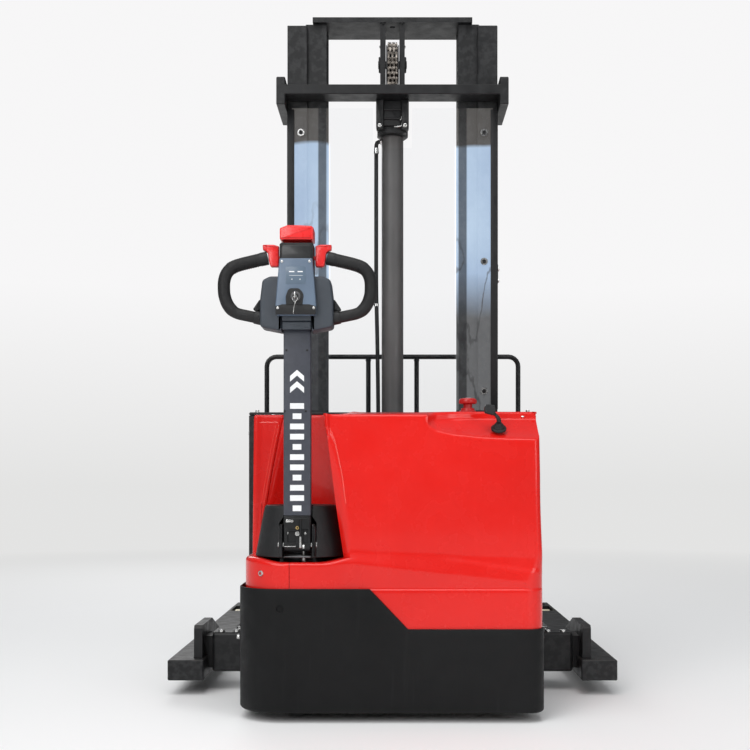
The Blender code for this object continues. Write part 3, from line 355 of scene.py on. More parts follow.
def finished(obj, body, material, stands_for=None, edge=0.0, smooth=35.0):
    obj.data.shade_smooth()
    obj.data.set_sharp_from_angle(angle=math.radians(smooth))
    obj.data.materials.clear()
    obj.data.materials.append(material)
    if edge:
        soften(obj, edge)
    if body:
        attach(obj, body)
    if stands_for:
        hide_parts(stands_for)
    return obj


def carve(obj, tool):
    """Cuts a Shape's bodies out of obj."""
    bmesh.ops.recalc_face_normals(tool.bm, faces=tool.bm.faces)
    other = new_object("tool", tool.bm)
    mesh = other.data
    step = obj.modifiers.new("cut", "BOOLEAN")
    step.operation = "DIFFERENCE"
    step.solver = "EXACT"
    step.object = other
    bake(obj)
    bpy.data.objects.remove(other)
    bpy.data.meshes.remove(mesh)


def new_object(name, bm):
    mesh = bpy.data.meshes.new(name)
    bm.to_mesh(mesh)
    bm.free()
    obj = bpy.data.objects.new(name, mesh)
    SCENE.collection.objects.link(obj)
    return obj


def shell(name, bm, thickness):
    """A moulded skin given its thickness."""
    obj = new_object(name, bm)
    skin = obj.modifiers.new("skin", "SOLIDIFY")
    skin.thickness = thickness
    skin.offset = -1.0
    bake(obj)
    return obj


def bake(obj):
    """Applies an object's modifiers."""
    graph = bpy.context.evaluated_depsgraph_get()
    graph.update()
    mesh = bpy.data.meshes.new_from_object(obj.evaluated_get(graph))
    obj.modifiers.clear()
    obj.data = mesh


def dress(node, material, edge=0.0, count=2):
    """Gives a CAD node its finish and rounded edges."""
    obj = NODES[node]
    for s in obj.material_slots:
        s.material = material
    if edge:
        soften(obj, edge, count)
    return obj


# ---------------------------------------------------------------- materials

def add(tree, kind, **fields):
    """A shader node. A field names an input, or gives its number after an underscore; a socket is linked."""
    node = tree.nodes.new("ShaderNode" + kind)
    for field, value in fields.items():
        plug(tree, node, int(field[1:]) if field[0] == "_" else field.replace("_", " "), value)
    return node


def plug(tree, node, key, value):
    if isinstance(value, bpy.types.NodeSocket):
        tree.links.new(value, node.inputs[key])
    else:
        node.inputs[key].default_value = value


def new_material(name):
    mat = bpy.data.materials.new(name)
    mat.use_nodes = True
    tree = mat.node_tree
    return mat, tree, tree.nodes["Principled BSDF"]


def place_noise(tree, scale, detail=3.0, stretch=(1, 1, 1), kind="TexNoise"):
    """A noise in object space; stretch below 1 draws it out along that axis."""
    where = add(tree, "TexCoord")
    mapping = add(tree, "Mapping", Scale=stretch, Vector=where.outputs["Object"])
    noise = add(tree, kind, Scale=scale, Vector=mapping.outputs["Vector"])
    if "Detail" in noise.inputs:
        noise.inputs["Detail"].default_value = detail
    return noise.outputs["Distance" if kind == "TexVoronoi" else 0]


def spread(tree, value, start, end, a, b):
    """Maps a value from start..end to a..b."""
    node = add(tree, "MapRange", From_Min=start, From_Max=end, To_Min=a, To_Max=b, Value=value)
    return node.outputs["Result"]


def blend_colours(tree, factor, a, b):
    """Mixes two colours; each is a tuple or a socket."""
    node = add(tree, "Mix")
    node.data_type = "RGBA"
    for key, value in ((6, a), (7, b), (0, factor)):
        plug(tree, node, key, (*value, 1.0) if isinstance(value, tuple) else value)
    return node.outputs[2]


def math_node(tree, operation, a, b):
    node = add(tree, "Math", _0=a, _1=b)
    node.operation = operation
    return node.outputs[0]


def axes(tree, vector):
    """The X, Y and Z of a vector."""
    return add(tree, "SeparateXYZ", Vector=vector).outputs


def brighter(colour, factor, lift):
    return tuple(min(c * factor + lift, 1.0) for c in colour)


def scuffed(tree, colour, gloss, base, amount):
    """Light, upright scratches."""
    marks = spread(tree, place_noise(tree, 38.0, 9.0, (1.0, 1.0, 0.06)), 0.6, 0.7, 0.0, amount)
    colour = blend_colours(tree, marks, colour, brighter(base, 1.6, 0.02))
    return colour, math_node(tree, "ADD", gloss, math_node(tree, "MULTIPLY", marks, 0.25))


def rubbed(tree, colour, base, amount):
    """Paint that is rubbed off in places along the edges."""
    edges = add(tree, "NewGeometry")
    chips = place_noise(tree, 60.0, 6.0)
    worn = spread(tree, edges.outputs["Pointiness"], 0.53, 0.6, 0.0, 1.0)
    worn = math_node(tree, "MULTIPLY", worn, spread(tree, chips, 0.45, 0.6, 0.0, amount))
    return blend_colours(tree, worn, colour, brighter(base, 2.5, 0.03))


def dusted(tree, colour, gloss, amount):
    """Dust on the faces that look up."""
    settle = spread(tree, axes(tree, add(tree, "NewGeometry").outputs["Normal"])["Z"], 0.2, 1.0, 0.0, amount)
    settle = math_node(tree, "MULTIPLY", settle, spread(tree, place_noise(tree, 30.0, 6.0), 0.3, 0.7, 0.3,
            1.0))
    colour = blend_colours(tree, settle, colour, (0.32, 0.3, 0.27))
    return colour, math_node(tree, "ADD", gloss, math_node(tree, "MULTIPLY", settle, 0.3))


def bumps(tree, grain, size, kind, pull, ripple):
    """The normal of a fine grain and a broad ripple, or None."""
    normal = None
    for amount, scale, noise, stretch in ((grain, size, kind, pull), (ripple, 26.0, "TexNoise", (1, 1, 1))):
        if not amount:
            continue
        bump = add(tree, "Bump", Strength=min(amount, 1.0), Distance=0.0004 if scale > 100 else 0.0012,
                Height=place_noise(tree, scale, 2.0, stretch, noise))
        if normal is not None:
            plug(tree, bump, "Normal", normal)
        normal = bump.outputs["Normal"]
    return normal


def surface(name, base, rough, metal=0.0, coat=0.0, shift=0.12, patch=5.0, grain=0.0, grain_size=900.0,
        grain_kind="TexNoise", brushed=(1, 1, 1), rough_shift=0.10, dust=0.0, wear=0.0, scuffs=0.0,
        specular=0.5, ripple=0.0):
    """A finish with uneven colour and gloss, fine grain, and dust, scuffs or rubbed edges where asked for."""
    mat, tree, shader = new_material(name)
    dark = tuple(c * (1 - shift) for c in base)
    broad = place_noise(tree, patch, 5.0)
    colour = blend_colours(tree, spread(tree, broad, 0.35, 0.65, 0.0, 1.0), dark,
            brighter(base, 1 + shift, 0.002))
    cloud = place_noise(tree, patch * 7.0, 6.0, brushed)
    gloss = spread(tree, cloud, 0.3, 0.7, max(rough - rough_shift, 0.02), min(rough + rough_shift, 1.0))
    if scuffs:
        colour, gloss = scuffed(tree, colour, gloss, base, scuffs)
    if wear:
        colour = rubbed(tree, colour, base, wear)
    if dust:
        colour, gloss = dusted(tree, colour, gloss, dust)
    fields = {"Base Color": colour, "Roughness": gloss, "Metallic": metal, "Specular IOR Level": specular,
            "Coat Weight": coat, "Coat Roughness": 0.06}
    normal = bumps(tree, grain, grain_size, grain_kind, brushed, ripple)
    if normal is not None:
        fields["Normal"] = normal
    for key, value in fields.items():
        plug(tree, shader, key, value)
    return mat


def painted_yard_reflection(tree, place):
    """Painted reflection for the clear sheet: cloudy sky with bare branches over dark ground, and a wall
    above them.
    """
    cloud = spread(tree, place_noise(tree, 3.0, 6.0, (1.0, 1.0, 0.5)), 0.35, 0.65, 0.0, 1.0)
    sky = blend_colours(tree, cloud, (0.33, 0.45, 0.65), (0.55, 0.7, 0.88))
    twigs = place_noise(tree, 9.0, 12.0, (1.0, 1.0, 0.35))
    branch = math_node(tree, "ABSOLUTE", math_node(tree, "SUBTRACT", twigs, 0.5), 0.0)
    branch = spread(tree, branch, 0.006, 0.022, 1.0, 0.0)
    branch = math_node(tree, "MULTIPLY", branch, spread(tree, place["Z"], 1.18, 1.56, 0.95, 0.0))
    sky = blend_colours(tree, branch, sky, (0.1, 0.1, 0.11))
    wall = blend_colours(tree, cloud, (0.06, 0.056, 0.052), (0.105, 0.098, 0.092))
    wavy = math_node(tree, "ADD", place["Z"], spread(tree, place_noise(tree, 4.0, 2.0), 0.3, 0.7, -0.02,
            0.02))
    side = spread(tree, place["X"], -0.05, 0.05, 0.0, 1.0)
    ground = blend_colours(tree, side, (0.03, 0.031, 0.034), (0.12, 0.122, 0.125))
    ground = blend_colours(tree, spread(tree, branch, 0.0, 1.0, 0.0, 0.6), ground, (0.02, 0.02, 0.02))
    sky = blend_colours(tree, spread(tree, wavy, 1.15, 1.3, 0.0, 1.0), ground, sky)
    return blend_colours(tree, spread(tree, wavy, 1.7, 1.712, 0.0, 1.0), sky, wall)


def clear_sheet(name):
    """Clear polycarbonate. A painted reflection of a yard glows as emission on its back face, in bands where
    the dark channels stand behind it.
    """
    mat, tree, shader = new_material(name)
    shader.inputs["Base Color"].default_value = (0.06, 0.08, 0.1, 1.0)
    shader.inputs["Roughness"].default_value = 0.05
    place = axes(tree, add(tree, "TexCoord").outputs["Object"])
    reflection_colour = painted_yard_reflection(tree, place)
    across = math_node(tree, "ABSOLUTE", place["X"], 0.0)
    reflection_strength = spread(tree, across, 0.196, 0.204, 0.0, 0.9)
    for start, end, change in ((0.207, 0.211, -0.72), (0.233, 0.237, 0.72)):
        reflection_strength = math_node(tree, "ADD", reflection_strength, spread(tree, across, start, end, 0.0, change))
    # painted reflection: the yard picture glows as emission, in bands across the sheet
    painted_reflection_glow = add(tree, "Emission", Color=reflection_colour, Strength=reflection_strength)
    see = add(tree, "BsdfTransparent", Color=(0.995, 0.998, 1.0, 1.0))
    both = add(tree, "AddShader", _0=see.outputs[0], _1=painted_reflection_glow.outputs[0])
    facing = add(tree, "NewGeometry")
    rear_face = spread(tree, axes(tree, facing.outputs["Normal"])["Y"], -0.9, -0.8, 1.0, 0.0)
    front_side = math_node(tree, "SUBTRACT", 1.0, facing.outputs["Backfacing"])
    seen_behind = math_node(tree, "MULTIPLY", rear_face, front_side)
    over = add(tree, "MixShader", _0=seen_behind, _1=see.outputs[0], _2=both.outputs[0])
    gloss = add(tree, "MixShader", _0=0.015, _1=over.outputs[0], _2=shader.outputs[0])
    plug(tree, tree.nodes["Material Output"], "Surface", gloss.outputs[0])
    return mat


VORONOI = "TexVoronoi"
RED = surface("hood_red", (0.68, 0.01, 0.0065), 0.26, coat=0.32, shift=0.05, patch=2.2, grain=0.1,
        grain_size=700, ripple=0.06, rough_shift=0.05, scuffs=0.05, specular=0.28)
STOP = surface("stop_red", (0.43, 0.012, 0.012), 0.34, coat=0.2, shift=0.06, patch=9.0, grain=0.1,
        grain_size=1500, rough_shift=0.06, specular=0.3)
# a lighter, glossier copy of the hood red for the raised edge beads: the lighter colour is a painted
# highlight along the edges
EDGE_HIGHLIGHT_RED = surface("edge_red_painted_highlight", (0.8, 0.03, 0.018), 0.18, coat=1.0, shift=0.04, patch=6.0, rough_shift=0.03,
        specular=0.8)
BUTTON = surface("button_red", (0.76, 0.016, 0.016), 0.3, coat=0.25, shift=0.06, patch=9.0, grain=0.1,
        grain_size=1500, rough_shift=0.06)
SKIRT = surface("skirt_black", (0.006, 0.0062, 0.0066), 0.5, shift=0.12, patch=3.0, grain=0.55,
        grain_size=1700, grain_kind=VORONOI, scuffs=0.16, dust=0.03, specular=0.16)
PLASTIC = surface("cover_black", (0.011, 0.0114, 0.0122), 0.44, shift=0.1, patch=7.0, grain=0.45,
        grain_size=2100, grain_kind=VORONOI, dust=0.06, specular=0.36)
STEEL = surface("frame_black", (0.0095, 0.0098, 0.0106), 0.42, specular=0.3, shift=0.16, patch=4.0, grain=0.5,
        grain_size=850, ripple=0.05, wear=0.3, scuffs=0.18, dust=0.08)
ARM = surface("tiller_grey", (0.046, 0.05, 0.064), 0.44, specular=0.32, shift=0.08, patch=5.0, grain=0.35,
        grain_size=1100, scuffs=0.12, wear=0.2)
SHROUD = surface("shroud_grey", (0.036, 0.045, 0.058), 0.46, shift=0.1, patch=7.0, grain=0.45,
        grain_size=1900, grain_kind=VORONOI, scuffs=0.1)
PANEL = surface("panel_blue", (0.105, 0.15, 0.215), 0.4, shift=0.07, patch=12.0, grain=0.3, grain_size=2300,
        grain_kind=VORONOI, coat=0.1)
PANE = surface("panel_pane", (0.1, 0.145, 0.2), 0.36, shift=0.06, patch=18.0, coat=0.15, rough_shift=0.04)
DISPLAY = surface("display_dark", (0.0105, 0.011, 0.012), 0.38, coat=0.15, shift=0.1, patch=20.0,
        rough_shift=0.04)
RUBBER = surface("rubber_black", (0.012, 0.012, 0.0125), 0.58, shift=0.15, patch=10.0, grain=0.5,
        grain_size=1600, dust=0.06, specular=0.3)
TYRE = surface("tyre_dark", (0.022, 0.021, 0.021), 0.72, shift=0.2, patch=14.0, grain=0.7, grain_size=650,
        dust=0.25, scuffs=0.3)
CREAM = surface("tyre_cream", (0.66, 0.6, 0.42), 0.38, shift=0.1, patch=14.0, grain=0.25, grain_size=800,
        dust=0.15, scuffs=0.25)
ZINC = surface("bright_steel", (0.58, 0.58, 0.57), 0.26, metal=1.0, shift=0.12, patch=30.0, grain=0.25,
        grain_size=500, brushed=(1.0, 1.0, 0.2), rough_shift=0.1)
CHROME = surface("piston_chrome", (0.72, 0.73, 0.74), 0.1, metal=1.0, shift=0.05, patch=8.0, rough_shift=0.05,
        grain=0.06, grain_size=900, brushed=(1.0, 1.0, 0.05))
BRASS = surface("brass", (0.62, 0.44, 0.18), 0.3, metal=1.0, shift=0.12, patch=30.0, grain=0.15,
        grain_size=700)
CHAIN = surface("chain_steel", (0.185, 0.165, 0.145), 0.34, metal=0.95, shift=0.35, patch=36.0, grain=0.3,
        grain_size=600, rough_shift=0.14)
CAST = surface("cast_metal", (0.135, 0.135, 0.14), 0.56, metal=0.7, shift=0.2, patch=16.0, grain=0.9,
        grain_size=420, dust=0.15)
MOTOR = surface("motor_grey", (0.05, 0.052, 0.056), 0.48, metal=0.4, shift=0.15, patch=10.0, grain=0.45,
        grain_size=700, dust=0.2)
ALU = surface("controller_alu", (0.42, 0.42, 0.43), 0.38, metal=0.9, shift=0.08, patch=12.0, grain=0.3,
        grain_size=500, brushed=(0.1, 1.0, 1.0))
CASE = surface("battery_case", (0.06, 0.066, 0.072), 0.55, shift=0.12, patch=8.0, grain=0.5, grain_size=1200,
        grain_kind=VORONOI, dust=0.25)
BARREL = surface("cylinder_grey", (0.082, 0.078, 0.077), 0.46, shift=0.12, patch=6.0, grain=0.45,
        grain_size=900, scuffs=0.3, ripple=0.05)
WHITE = surface("marking_white", (0.8, 0.81, 0.82), 0.42, shift=0.04, patch=16.0, grain=0.2, grain_size=1500)
SHEET_PAINTED_REFLECTION = clear_sheet("clear_sheet")


# ---------------------------------------------------------------- hood, ledge and skirt

STEER = Vector(JOINTS["steering"]["pos_m"])
PIVOT = Vector(JOINTS["tiller_tilt"]["pos_m"])
AXIS_DEPTH = STEER.y - ahead(0.0)
HALF = high("hood").x
TOP = high("hood").z
FRONT = high("hood").y - ahead(0.0)
LEDGE = high("corner_cover").z
SEAM = high("corner_cover").x
SKIN = 0.0005
LEDGE_EDGE = 0.445
FACET = 0.255
LEFT_ROUND = 0.118
HOLE = 0.112
NICHE = [(0.435, 0.186), (0.84, 0.1425)]
MOUTH = [(0.435, 0.14), (0.585, 0.1266), (0.658, 0.1168), (0.741, 0.0989), (0.8, 0.0807), (0.83, 0.076)]
LIP = [(0.435, 0.122), (0.574, 0.1015), (0.798, 0.0745), (0.83, 0.072)]
LIP_DEPTH = [(0.435, 0.034), (0.574, 0.028), (0.798, 0.012), (0.83, 0.011)]
TRAY_EDGE = [(0.082, 0.85), (0.092, 0.808), (0.1, 0.794), (0.115, 0.781), (0.16, 0.767), (0.234, 0.757),
        (0.3, 0.753), (0.4, 0.75)]
TRAY_SLOPE = 1.479
TRAY_WALL = 0.8065
SHELF_LOW = [(-0.096, 0.425), (0.313, 0.3735), (0.4, 0.368)]
SHELF_MID = [(0.1, 0.433), (0.168, 0.427), (0.347, 0.4), (0.4, 0.396)]
SHELF_TOP = [(-0.096, 0.448), (0.395, 0.434)]
STEP = 0.352
TOP_FALL = 0.0115


def ramp(x, start, end, amount, soft=0.0018):
    """A slope from 0 at start to amount at end, softened where it bends."""
    rate = amount / (end - start)

    def bent(t):
        return soft * math.log1p(math.exp(min(max(t / soft, -40), 40))) if t / soft < 40 else t

    return rate * (bent(x - start) - bent(x - end))


def rear_depth(x, z):
    """How far the hood's rear face lies ahead of its foremost plane."""
    lower, upper = steps(SHELF_LOW, x), steps(SHELF_TOP, x)
    depth = 0.0015 * (z - 0.239) / 0.11 if z < STEP else 0.0015
    depth += ramp(z, STEP - 0.0015, STEP + 0.0015, 0.0028, 0.0005)
    depth -= ramp(z, STEP + 0.002, lower, 0.0028)
    middle_line = steps(SHELF_MID, x)
    share = 0.45 * smoothstep((x - 0.1) / 0.1)
    depth += ramp(z, lower, upper, 0.0085 * (1 - share))
    if share > 0.0:
        depth += ramp(z, middle_line, middle_line + 0.008, 0.0085 * share)
    depth += 0.006 * max(z - LEDGE_EDGE, 0.0) / 0.35
    return depth


def tray_depth(x, z):
    """Depth of the sloping tray under the lever, above its curved lower edge."""
    edge = steps(TRAY_EDGE, x)
    rise = max(TRAY_WALL - edge, 0.001)
    run = ramp(z, edge, max(TRAY_WALL, edge + 0.001), TRAY_SLOPE * rise, 0.0022)
    return run if z > edge - 0.02 else 0.0


def right_round(z):
    return 0.016 + (0.048 - 0.016) * smoothstep((0.452 - z) / 0.085)


def right_side(z, first_x):
    """Rear face from first_x, right corner and right side, as X and depth."""
    half = HALF - SKIN - 0.008 * smoothstep((z - 0.33) / 0.3) - 0.003 * max(z - 0.65, 0.0) / 0.17
    r = right_round(z)
    xs = [first_x + (0.075 - first_x) * i / 22 for i in range(22)]
    xs += [0.075 + 0.045 * i / 12 for i in range(12)]
    xs += [0.12 + (half - 0.05 - 0.12) * i / 24 for i in range(24)]
    xs += [half - 0.05 + (0.05 - r) * i / 4 for i in range(4)]
    points = [(x, rear_depth(x, z)) for x in xs]
    base = rear_depth(half - r, z)
    points += arc((half - r, base + r), r, 270, 360, 10)
    points += [(half, base + r + (FRONT - base - r) * i / 10) for i in range(1, 11)]
    result = []
    for x, depth in points:
        cut = tray_depth(x, z)
        result.append((x, max(depth, cut + rear_depth(x, z) * (cut > 0))))
    return result


def left_half(z):
    """The hood's half width on the left: its side leans in above the ledge."""
    return HALF - SKIN - 0.0035 * max(z - LEDGE_EDGE, 0.0) / 0.35


def left_side(z):
    """The left side ahead of the facet, common to the hood and its ledge."""
    half = left_half(z)
    return [(-half, FRONT), (-half, 0.315), (-half, 0.29), (-half, FACET + 0.014)]


def niche_reach(z):
    """How far left of the steering axis the niche meets the facet."""
    return math.sqrt(steps(NICHE, z) ** 2 - (FACET - AXIS_DEPTH) ** 2)


def niche_side(z):
    """Facet, conical niche, undercut and lip, from the left side to the niche's right edge."""
    half, radius = left_half(z), steps(NICHE, z)
    reach = niche_reach(z)
    turn = math.degrees(math.atan2(FACET - AXIS_DEPTH, -reach))
    points = arc((-half + 0.008, FACET + 0.008), 0.008, 180, 270, 4)
    crease = STEER.x - reach
    points += [(-half + 0.012, FACET), (-half + 0.018, FACET + 0.0015), (-half + 0.026, FACET + 0.002)]
    points += [(-half + 0.026 + (crease - 0.012 + half - 0.026) * i / 5, FACET + 0.002) for i in range(1, 6)]
    points += [(crease - 0.005, FACET + 0.0016), (crease - 0.001, FACET + 0.002),
            (crease + 0.0026, FACET + 0.0042), (crease + 0.0048, FACET + 0.0082)]
    lead = math.degrees(0.016 / radius)
    points += arc((STEER.x, AXIS_DEPTH), radius, turn - lead, -30, 40)
    mouth, lip, back = steps(MOUTH, z), steps(LIP, z), steps(LIP_DEPTH, z)
    corner = points[-1]
    inner = (STEER.x + lip, back)
    for t in (0.35, 0.7):
        points.append((corner[0] + (inner[0] - corner[0]) * t, corner[1] + (inner[1] - corner[1]) * t))
    points += [(inner[0] + 0.0045, inner[1] + 0.0008), (inner[0] + 0.001, inner[1] - 0.0005),
            (inner[0], inner[1] - 0.0035)]
    edge = (STEER.x + mouth, rear_depth(STEER.x + mouth, z))
    for t in (0.35, 0.65, 0.88, 0.97):
        bow = 0.0025 * math.sin(math.pi * t)
        points.append((inner[0] + (edge[0] - inner[0]) * t - bow, inner[1] + (edge[1] - inner[1]) * t - bow))
    return points


def ledge_side(z, pull=0.0):
    """The ledge's rounded left corner and rear face, up to the niche's right edge."""
    half = HALF - SKIN - pull
    end = STEER.x + steps(MOUTH, LEDGE)
    points = [(-half, FACET + 0.001 - 0.137 * i / 8) for i in range(8)]
    points += arc((-HALF + LEFT_ROUND, LEFT_ROUND), LEFT_ROUND - 0.0005 - pull, 180, 270, 22)
    points += [(SEAM, 0.0005 + pull)]
    fade_start = end - 0.045
    for i in range(1, 20):
        x = SEAM + (end - SEAM) * i / 20
        fade = 1.0 - smoothstep((x - fade_start) / 0.045)
        points.append((x, 0.0005 * fade + pull * fade + rear_depth(x, z) * (1 - fade)))
    return points


def rounded_top(outline, amount):
    """An open outline moved inwards, to its right as it runs from the left side to the right side."""
    moved = []
    for i, point in enumerate(outline):
        a = Vector(outline[max(i - 1, 0)])
        b = Vector(outline[min(i + 1, len(outline) - 1)])
        way = (b - a).normalized() if (b - a).length > 1e-9 else Vector((1, 0))
        moved.append((point[0] - way.y * amount, point[1] + way.x * amount))
    return moved


def hood_levels(start, end, gap):
    count = max(int(round((end - start) / gap)), 1)
    return [start + (end - start) * i / count for i in range(count + 1)]


def crown_levels(top, soft):
    """The last heights of a wall that rounds over at its top."""
    return [top - soft + soft * math.sin(math.radians(a)) for a in (18, 36, 54, 72, 90)]


def crown_pull(z, top, soft):
    """How far the rounding has come in at height z."""
    t = max(z - (top - soft), 0.0) / soft
    return soft * (1 - math.sqrt(max(1 - t * t, 0.0)))


def hood_point(p, z):
    return (p[0], ahead(p[1]), z)


def wall(rows, face, kind_of):
    """Quads between level outlines; kind_of(corner, next corner, index) names the shell."""
    for (z0, lower), (z1, upper) in zip(rows, rows[1:]):
        for i in range(len(lower) - 1):
            face(kind_of(lower[i], lower[i + 1], i), [hood_point(lower[i], z0), hood_point(lower[i + 1], z0),
                    hood_point(upper[i + 1], z1), hood_point(upper[i], z1)])


def ledge_walls(face):
    """The hood up to its ledge. Returns the ledge's rim, from the left side to the niche's right edge."""
    foot, soft = low("hood").z + 0.002, 0.011
    levels = hood_levels(foot, STEP - 0.003, 0.01) + hood_levels(STEP - 0.0018, STEP + 0.0018, 0.0009)
    levels += hood_levels(STEP + 0.004, LEDGE - soft, 0.0045) + crown_levels(LEDGE, soft)
    first = STEER.x + steps(MOUTH, LEDGE)
    left = [left_side(z)[:-1] + ledge_side(z, crown_pull(z, LEDGE, soft)) for z in levels]
    rows = [(z, side + right_side(z, first)) for z, side in zip(levels, left)]

    def kind(a, b, i):
        return "corner_cover" if (a[0] + b[0]) / 2 < SEAM and a[1] < FACET + 0.03 and i > 1 else "hood"

    wall(rows, face, kind)
    return rows[-1][1][:len(left[-1]) + 1]


def ledge_top(face, rim):
    """The ledge's flat top, round the opening for the drive unit."""
    axis = Vector((STEER.x, AXIS_DEPTH))
    inner = (left_side(LEDGE)[2:] + niche_side(LEDGE))[1:]
    boundary = rim[2:] + list(reversed(inner))
    ring = arc(axis, HOLE, 0, 360, 64)[:-1]
    seam = [(SEAM, rim[-21][1]), (SEAM, FACET + 0.002)]
    count = len(boundary) + len(ring)
    faces = [list(range(len(boundary))), list(range(len(boundary), count))]
    points = [Vector(p) for p in boundary + ring + seam]
    verts, _edges, tris, *_rest = delaunay_2d_cdt(points, [(count, count + 1)], faces, 1, 1e-6)
    for tri in tris:
        centre = sum((verts[i] for i in tri), Vector((0, 0))) / len(tri)
        if (centre - axis).length < HOLE - 0.0006:
            continue
        kind = "corner_cover" if centre.x < SEAM and centre.y < FACET + 0.03 else "hood"
        face(kind, [hood_point(verts[i], LEDGE) for i in tri])


def upper_body(face):
    """The hood's body above the ledge, with the niche."""
    soft = 0.0075
    levels = hood_levels(LEDGE, 0.454, 0.003) + hood_levels(0.462, 0.742, 0.014)
    levels += hood_levels(0.7455, TOP - soft, 0.0028) + crown_levels(TOP, soft)
    tip = Vector((STEER.x + 0.074, 0.01))
    rows = []
    for z in levels:
        pull = crown_pull(z, TOP, soft)
        outline = left_side(z)[:-1] + niche_side(z) + right_side(z, STEER.x + steps(MOUTH, z))
        if pull:
            # the narrow lip beside the niche keeps its own edge
            free = [smoothstep(((Vector(p) - tip).length - 0.01) / 0.02) for p in outline]
            outline = [(p[0] + (q[0] - p[0]) * w, p[1] + (q[1] - p[1]) * w) for p, q,
                    w in zip(outline, rounded_top(outline, pull), free)]
        rows.append((z, outline))
    wall(rows, face, lambda a, b, i: "hood")
    rim = rows[-1][1]
    verts, _edges, tris, *_rest = delaunay_2d_cdt([Vector(p) for p in rim], [], [list(range(len(rim)))], 1,
            1e-6)
    for tri in tris:
        face("hood", [hood_point(verts[i], TOP) for i in tri])


def hood_sag(x, y, z):
    """The ledge's front rim dips below the drive cone, and the top falls away towards the operator."""
    if 0.395 < z < LEDGE + 0.0004:
        dip = smoothstep((x + 0.376) / 0.086) * (1 - smoothstep((x + 0.19) / 0.075))
        near = 1 - smoothstep((y - ahead(0.1)) / 0.06)
        return 0.011 * dip * near * smoothstep((z - 0.395) / 0.04)
    if z > 0.74:
        near = 1 - smoothstep((y - ahead(0.012)) / 0.085)
        return TOP_FALL * near * smoothstep((z - 0.74) / 0.07) * smoothstep((x - STEER.x - 0.05) / 0.02)
    return 0.0


def turned_out(kind, bm):
    """Turns the faces outwards: the cover's top looks up, the hood's rear face to the operator."""
    bmesh.ops.recalc_face_normals(bm, faces=bm.faces)
    if kind == "corner_cover":
        out = sum(f.normal.z * f.calc_area() for f in bm.faces if abs(f.normal.z) > 0.9)
    else:
        out = -sum(f.normal.y * f.calc_area() for f in bm.faces if abs(f.normal.y) > 0.7)
    if out < 0:
        bmesh.ops.reverse_faces(bm, faces=bm.faces)


def hood_pieces():
    """The red hood with its ledge, and the ledge's left end as a cover of its own."""
    shells = {"hood": bmesh.new(), "corner_cover": bmesh.new()}

    def face(kind, corners):
        bm = shells[kind]
        bm.faces.new([bm.verts.new(c) for c in corners])

    ledge_top(face, ledge_walls(face))
    upper_body(face)
    for kind, bm in shells.items():
        for v in bm.verts:
            v.co.z -= hood_sag(*v.co)
        bmesh.ops.remove_doubles(bm, verts=bm.verts, dist=0.00004)
        bmesh.ops.dissolve_degenerate(bm, edges=bm.edges, dist=0.00002)
        if kind == "corner_cover":
            for v in bm.verts:
                if abs(v.co.x - SEAM) < 0.00005:
                    v.co.x -= 0.0014
        turned_out(kind, bm)
        finished(shell(kind + "_shell", bm, 0.003), "chassis", RED, kind, smooth=28)


hood_pieces()


def hood_edges():
    """Crisp raised edges of the moulded hood: round the left facet, beside the niche and on its lip."""
    beads = Shape()

    def along(path, radius):
        beads.sweep(curve(path, 60), radius, 12)

    def crease(z):
        return STEER.x - niche_reach(z)

    sunk = 0.001
    levels = [0.452 + (0.8 - 0.452) * i / 12 for i in range(13)]
    along([(crease(z) - 0.003, ahead(FACET + 0.0022 + sunk), z) for z in levels], 0.002)
    along([(crease(z) - 0.0105, ahead(FACET + 0.0022 + sunk), z) for z in levels], 0.0018)
    along([(-left_half(z) + 0.008, ahead(FACET + 0.0014 + sunk), z) for z in levels], 0.0018)
    left, right = -left_half(0.806) + 0.0085, crease(0.806) - 0.0085
    along([(left + (right - left) * i / 8, ahead(FACET + 0.002 + sunk), 0.806) for i in range(9)], 0.0018)
    levels = [0.58 + (0.79 - 0.58) * i / 12 for i in range(13)]
    along([(STEER.x + steps(MOUTH, z) + 0.001, ahead(rear_depth(STEER.x + steps(MOUTH, z), z) + sunk),
            z - TOP_FALL * smoothstep((z - 0.74) / 0.07)) for z in levels], 0.0022)
    # the beads' lighter red paints a highlight along the hood's edges
    beads.piece("hood_edges", "chassis", EDGE_HIGHLIGHT_RED, slot="hood_red", smooth=60)


hood_edges()


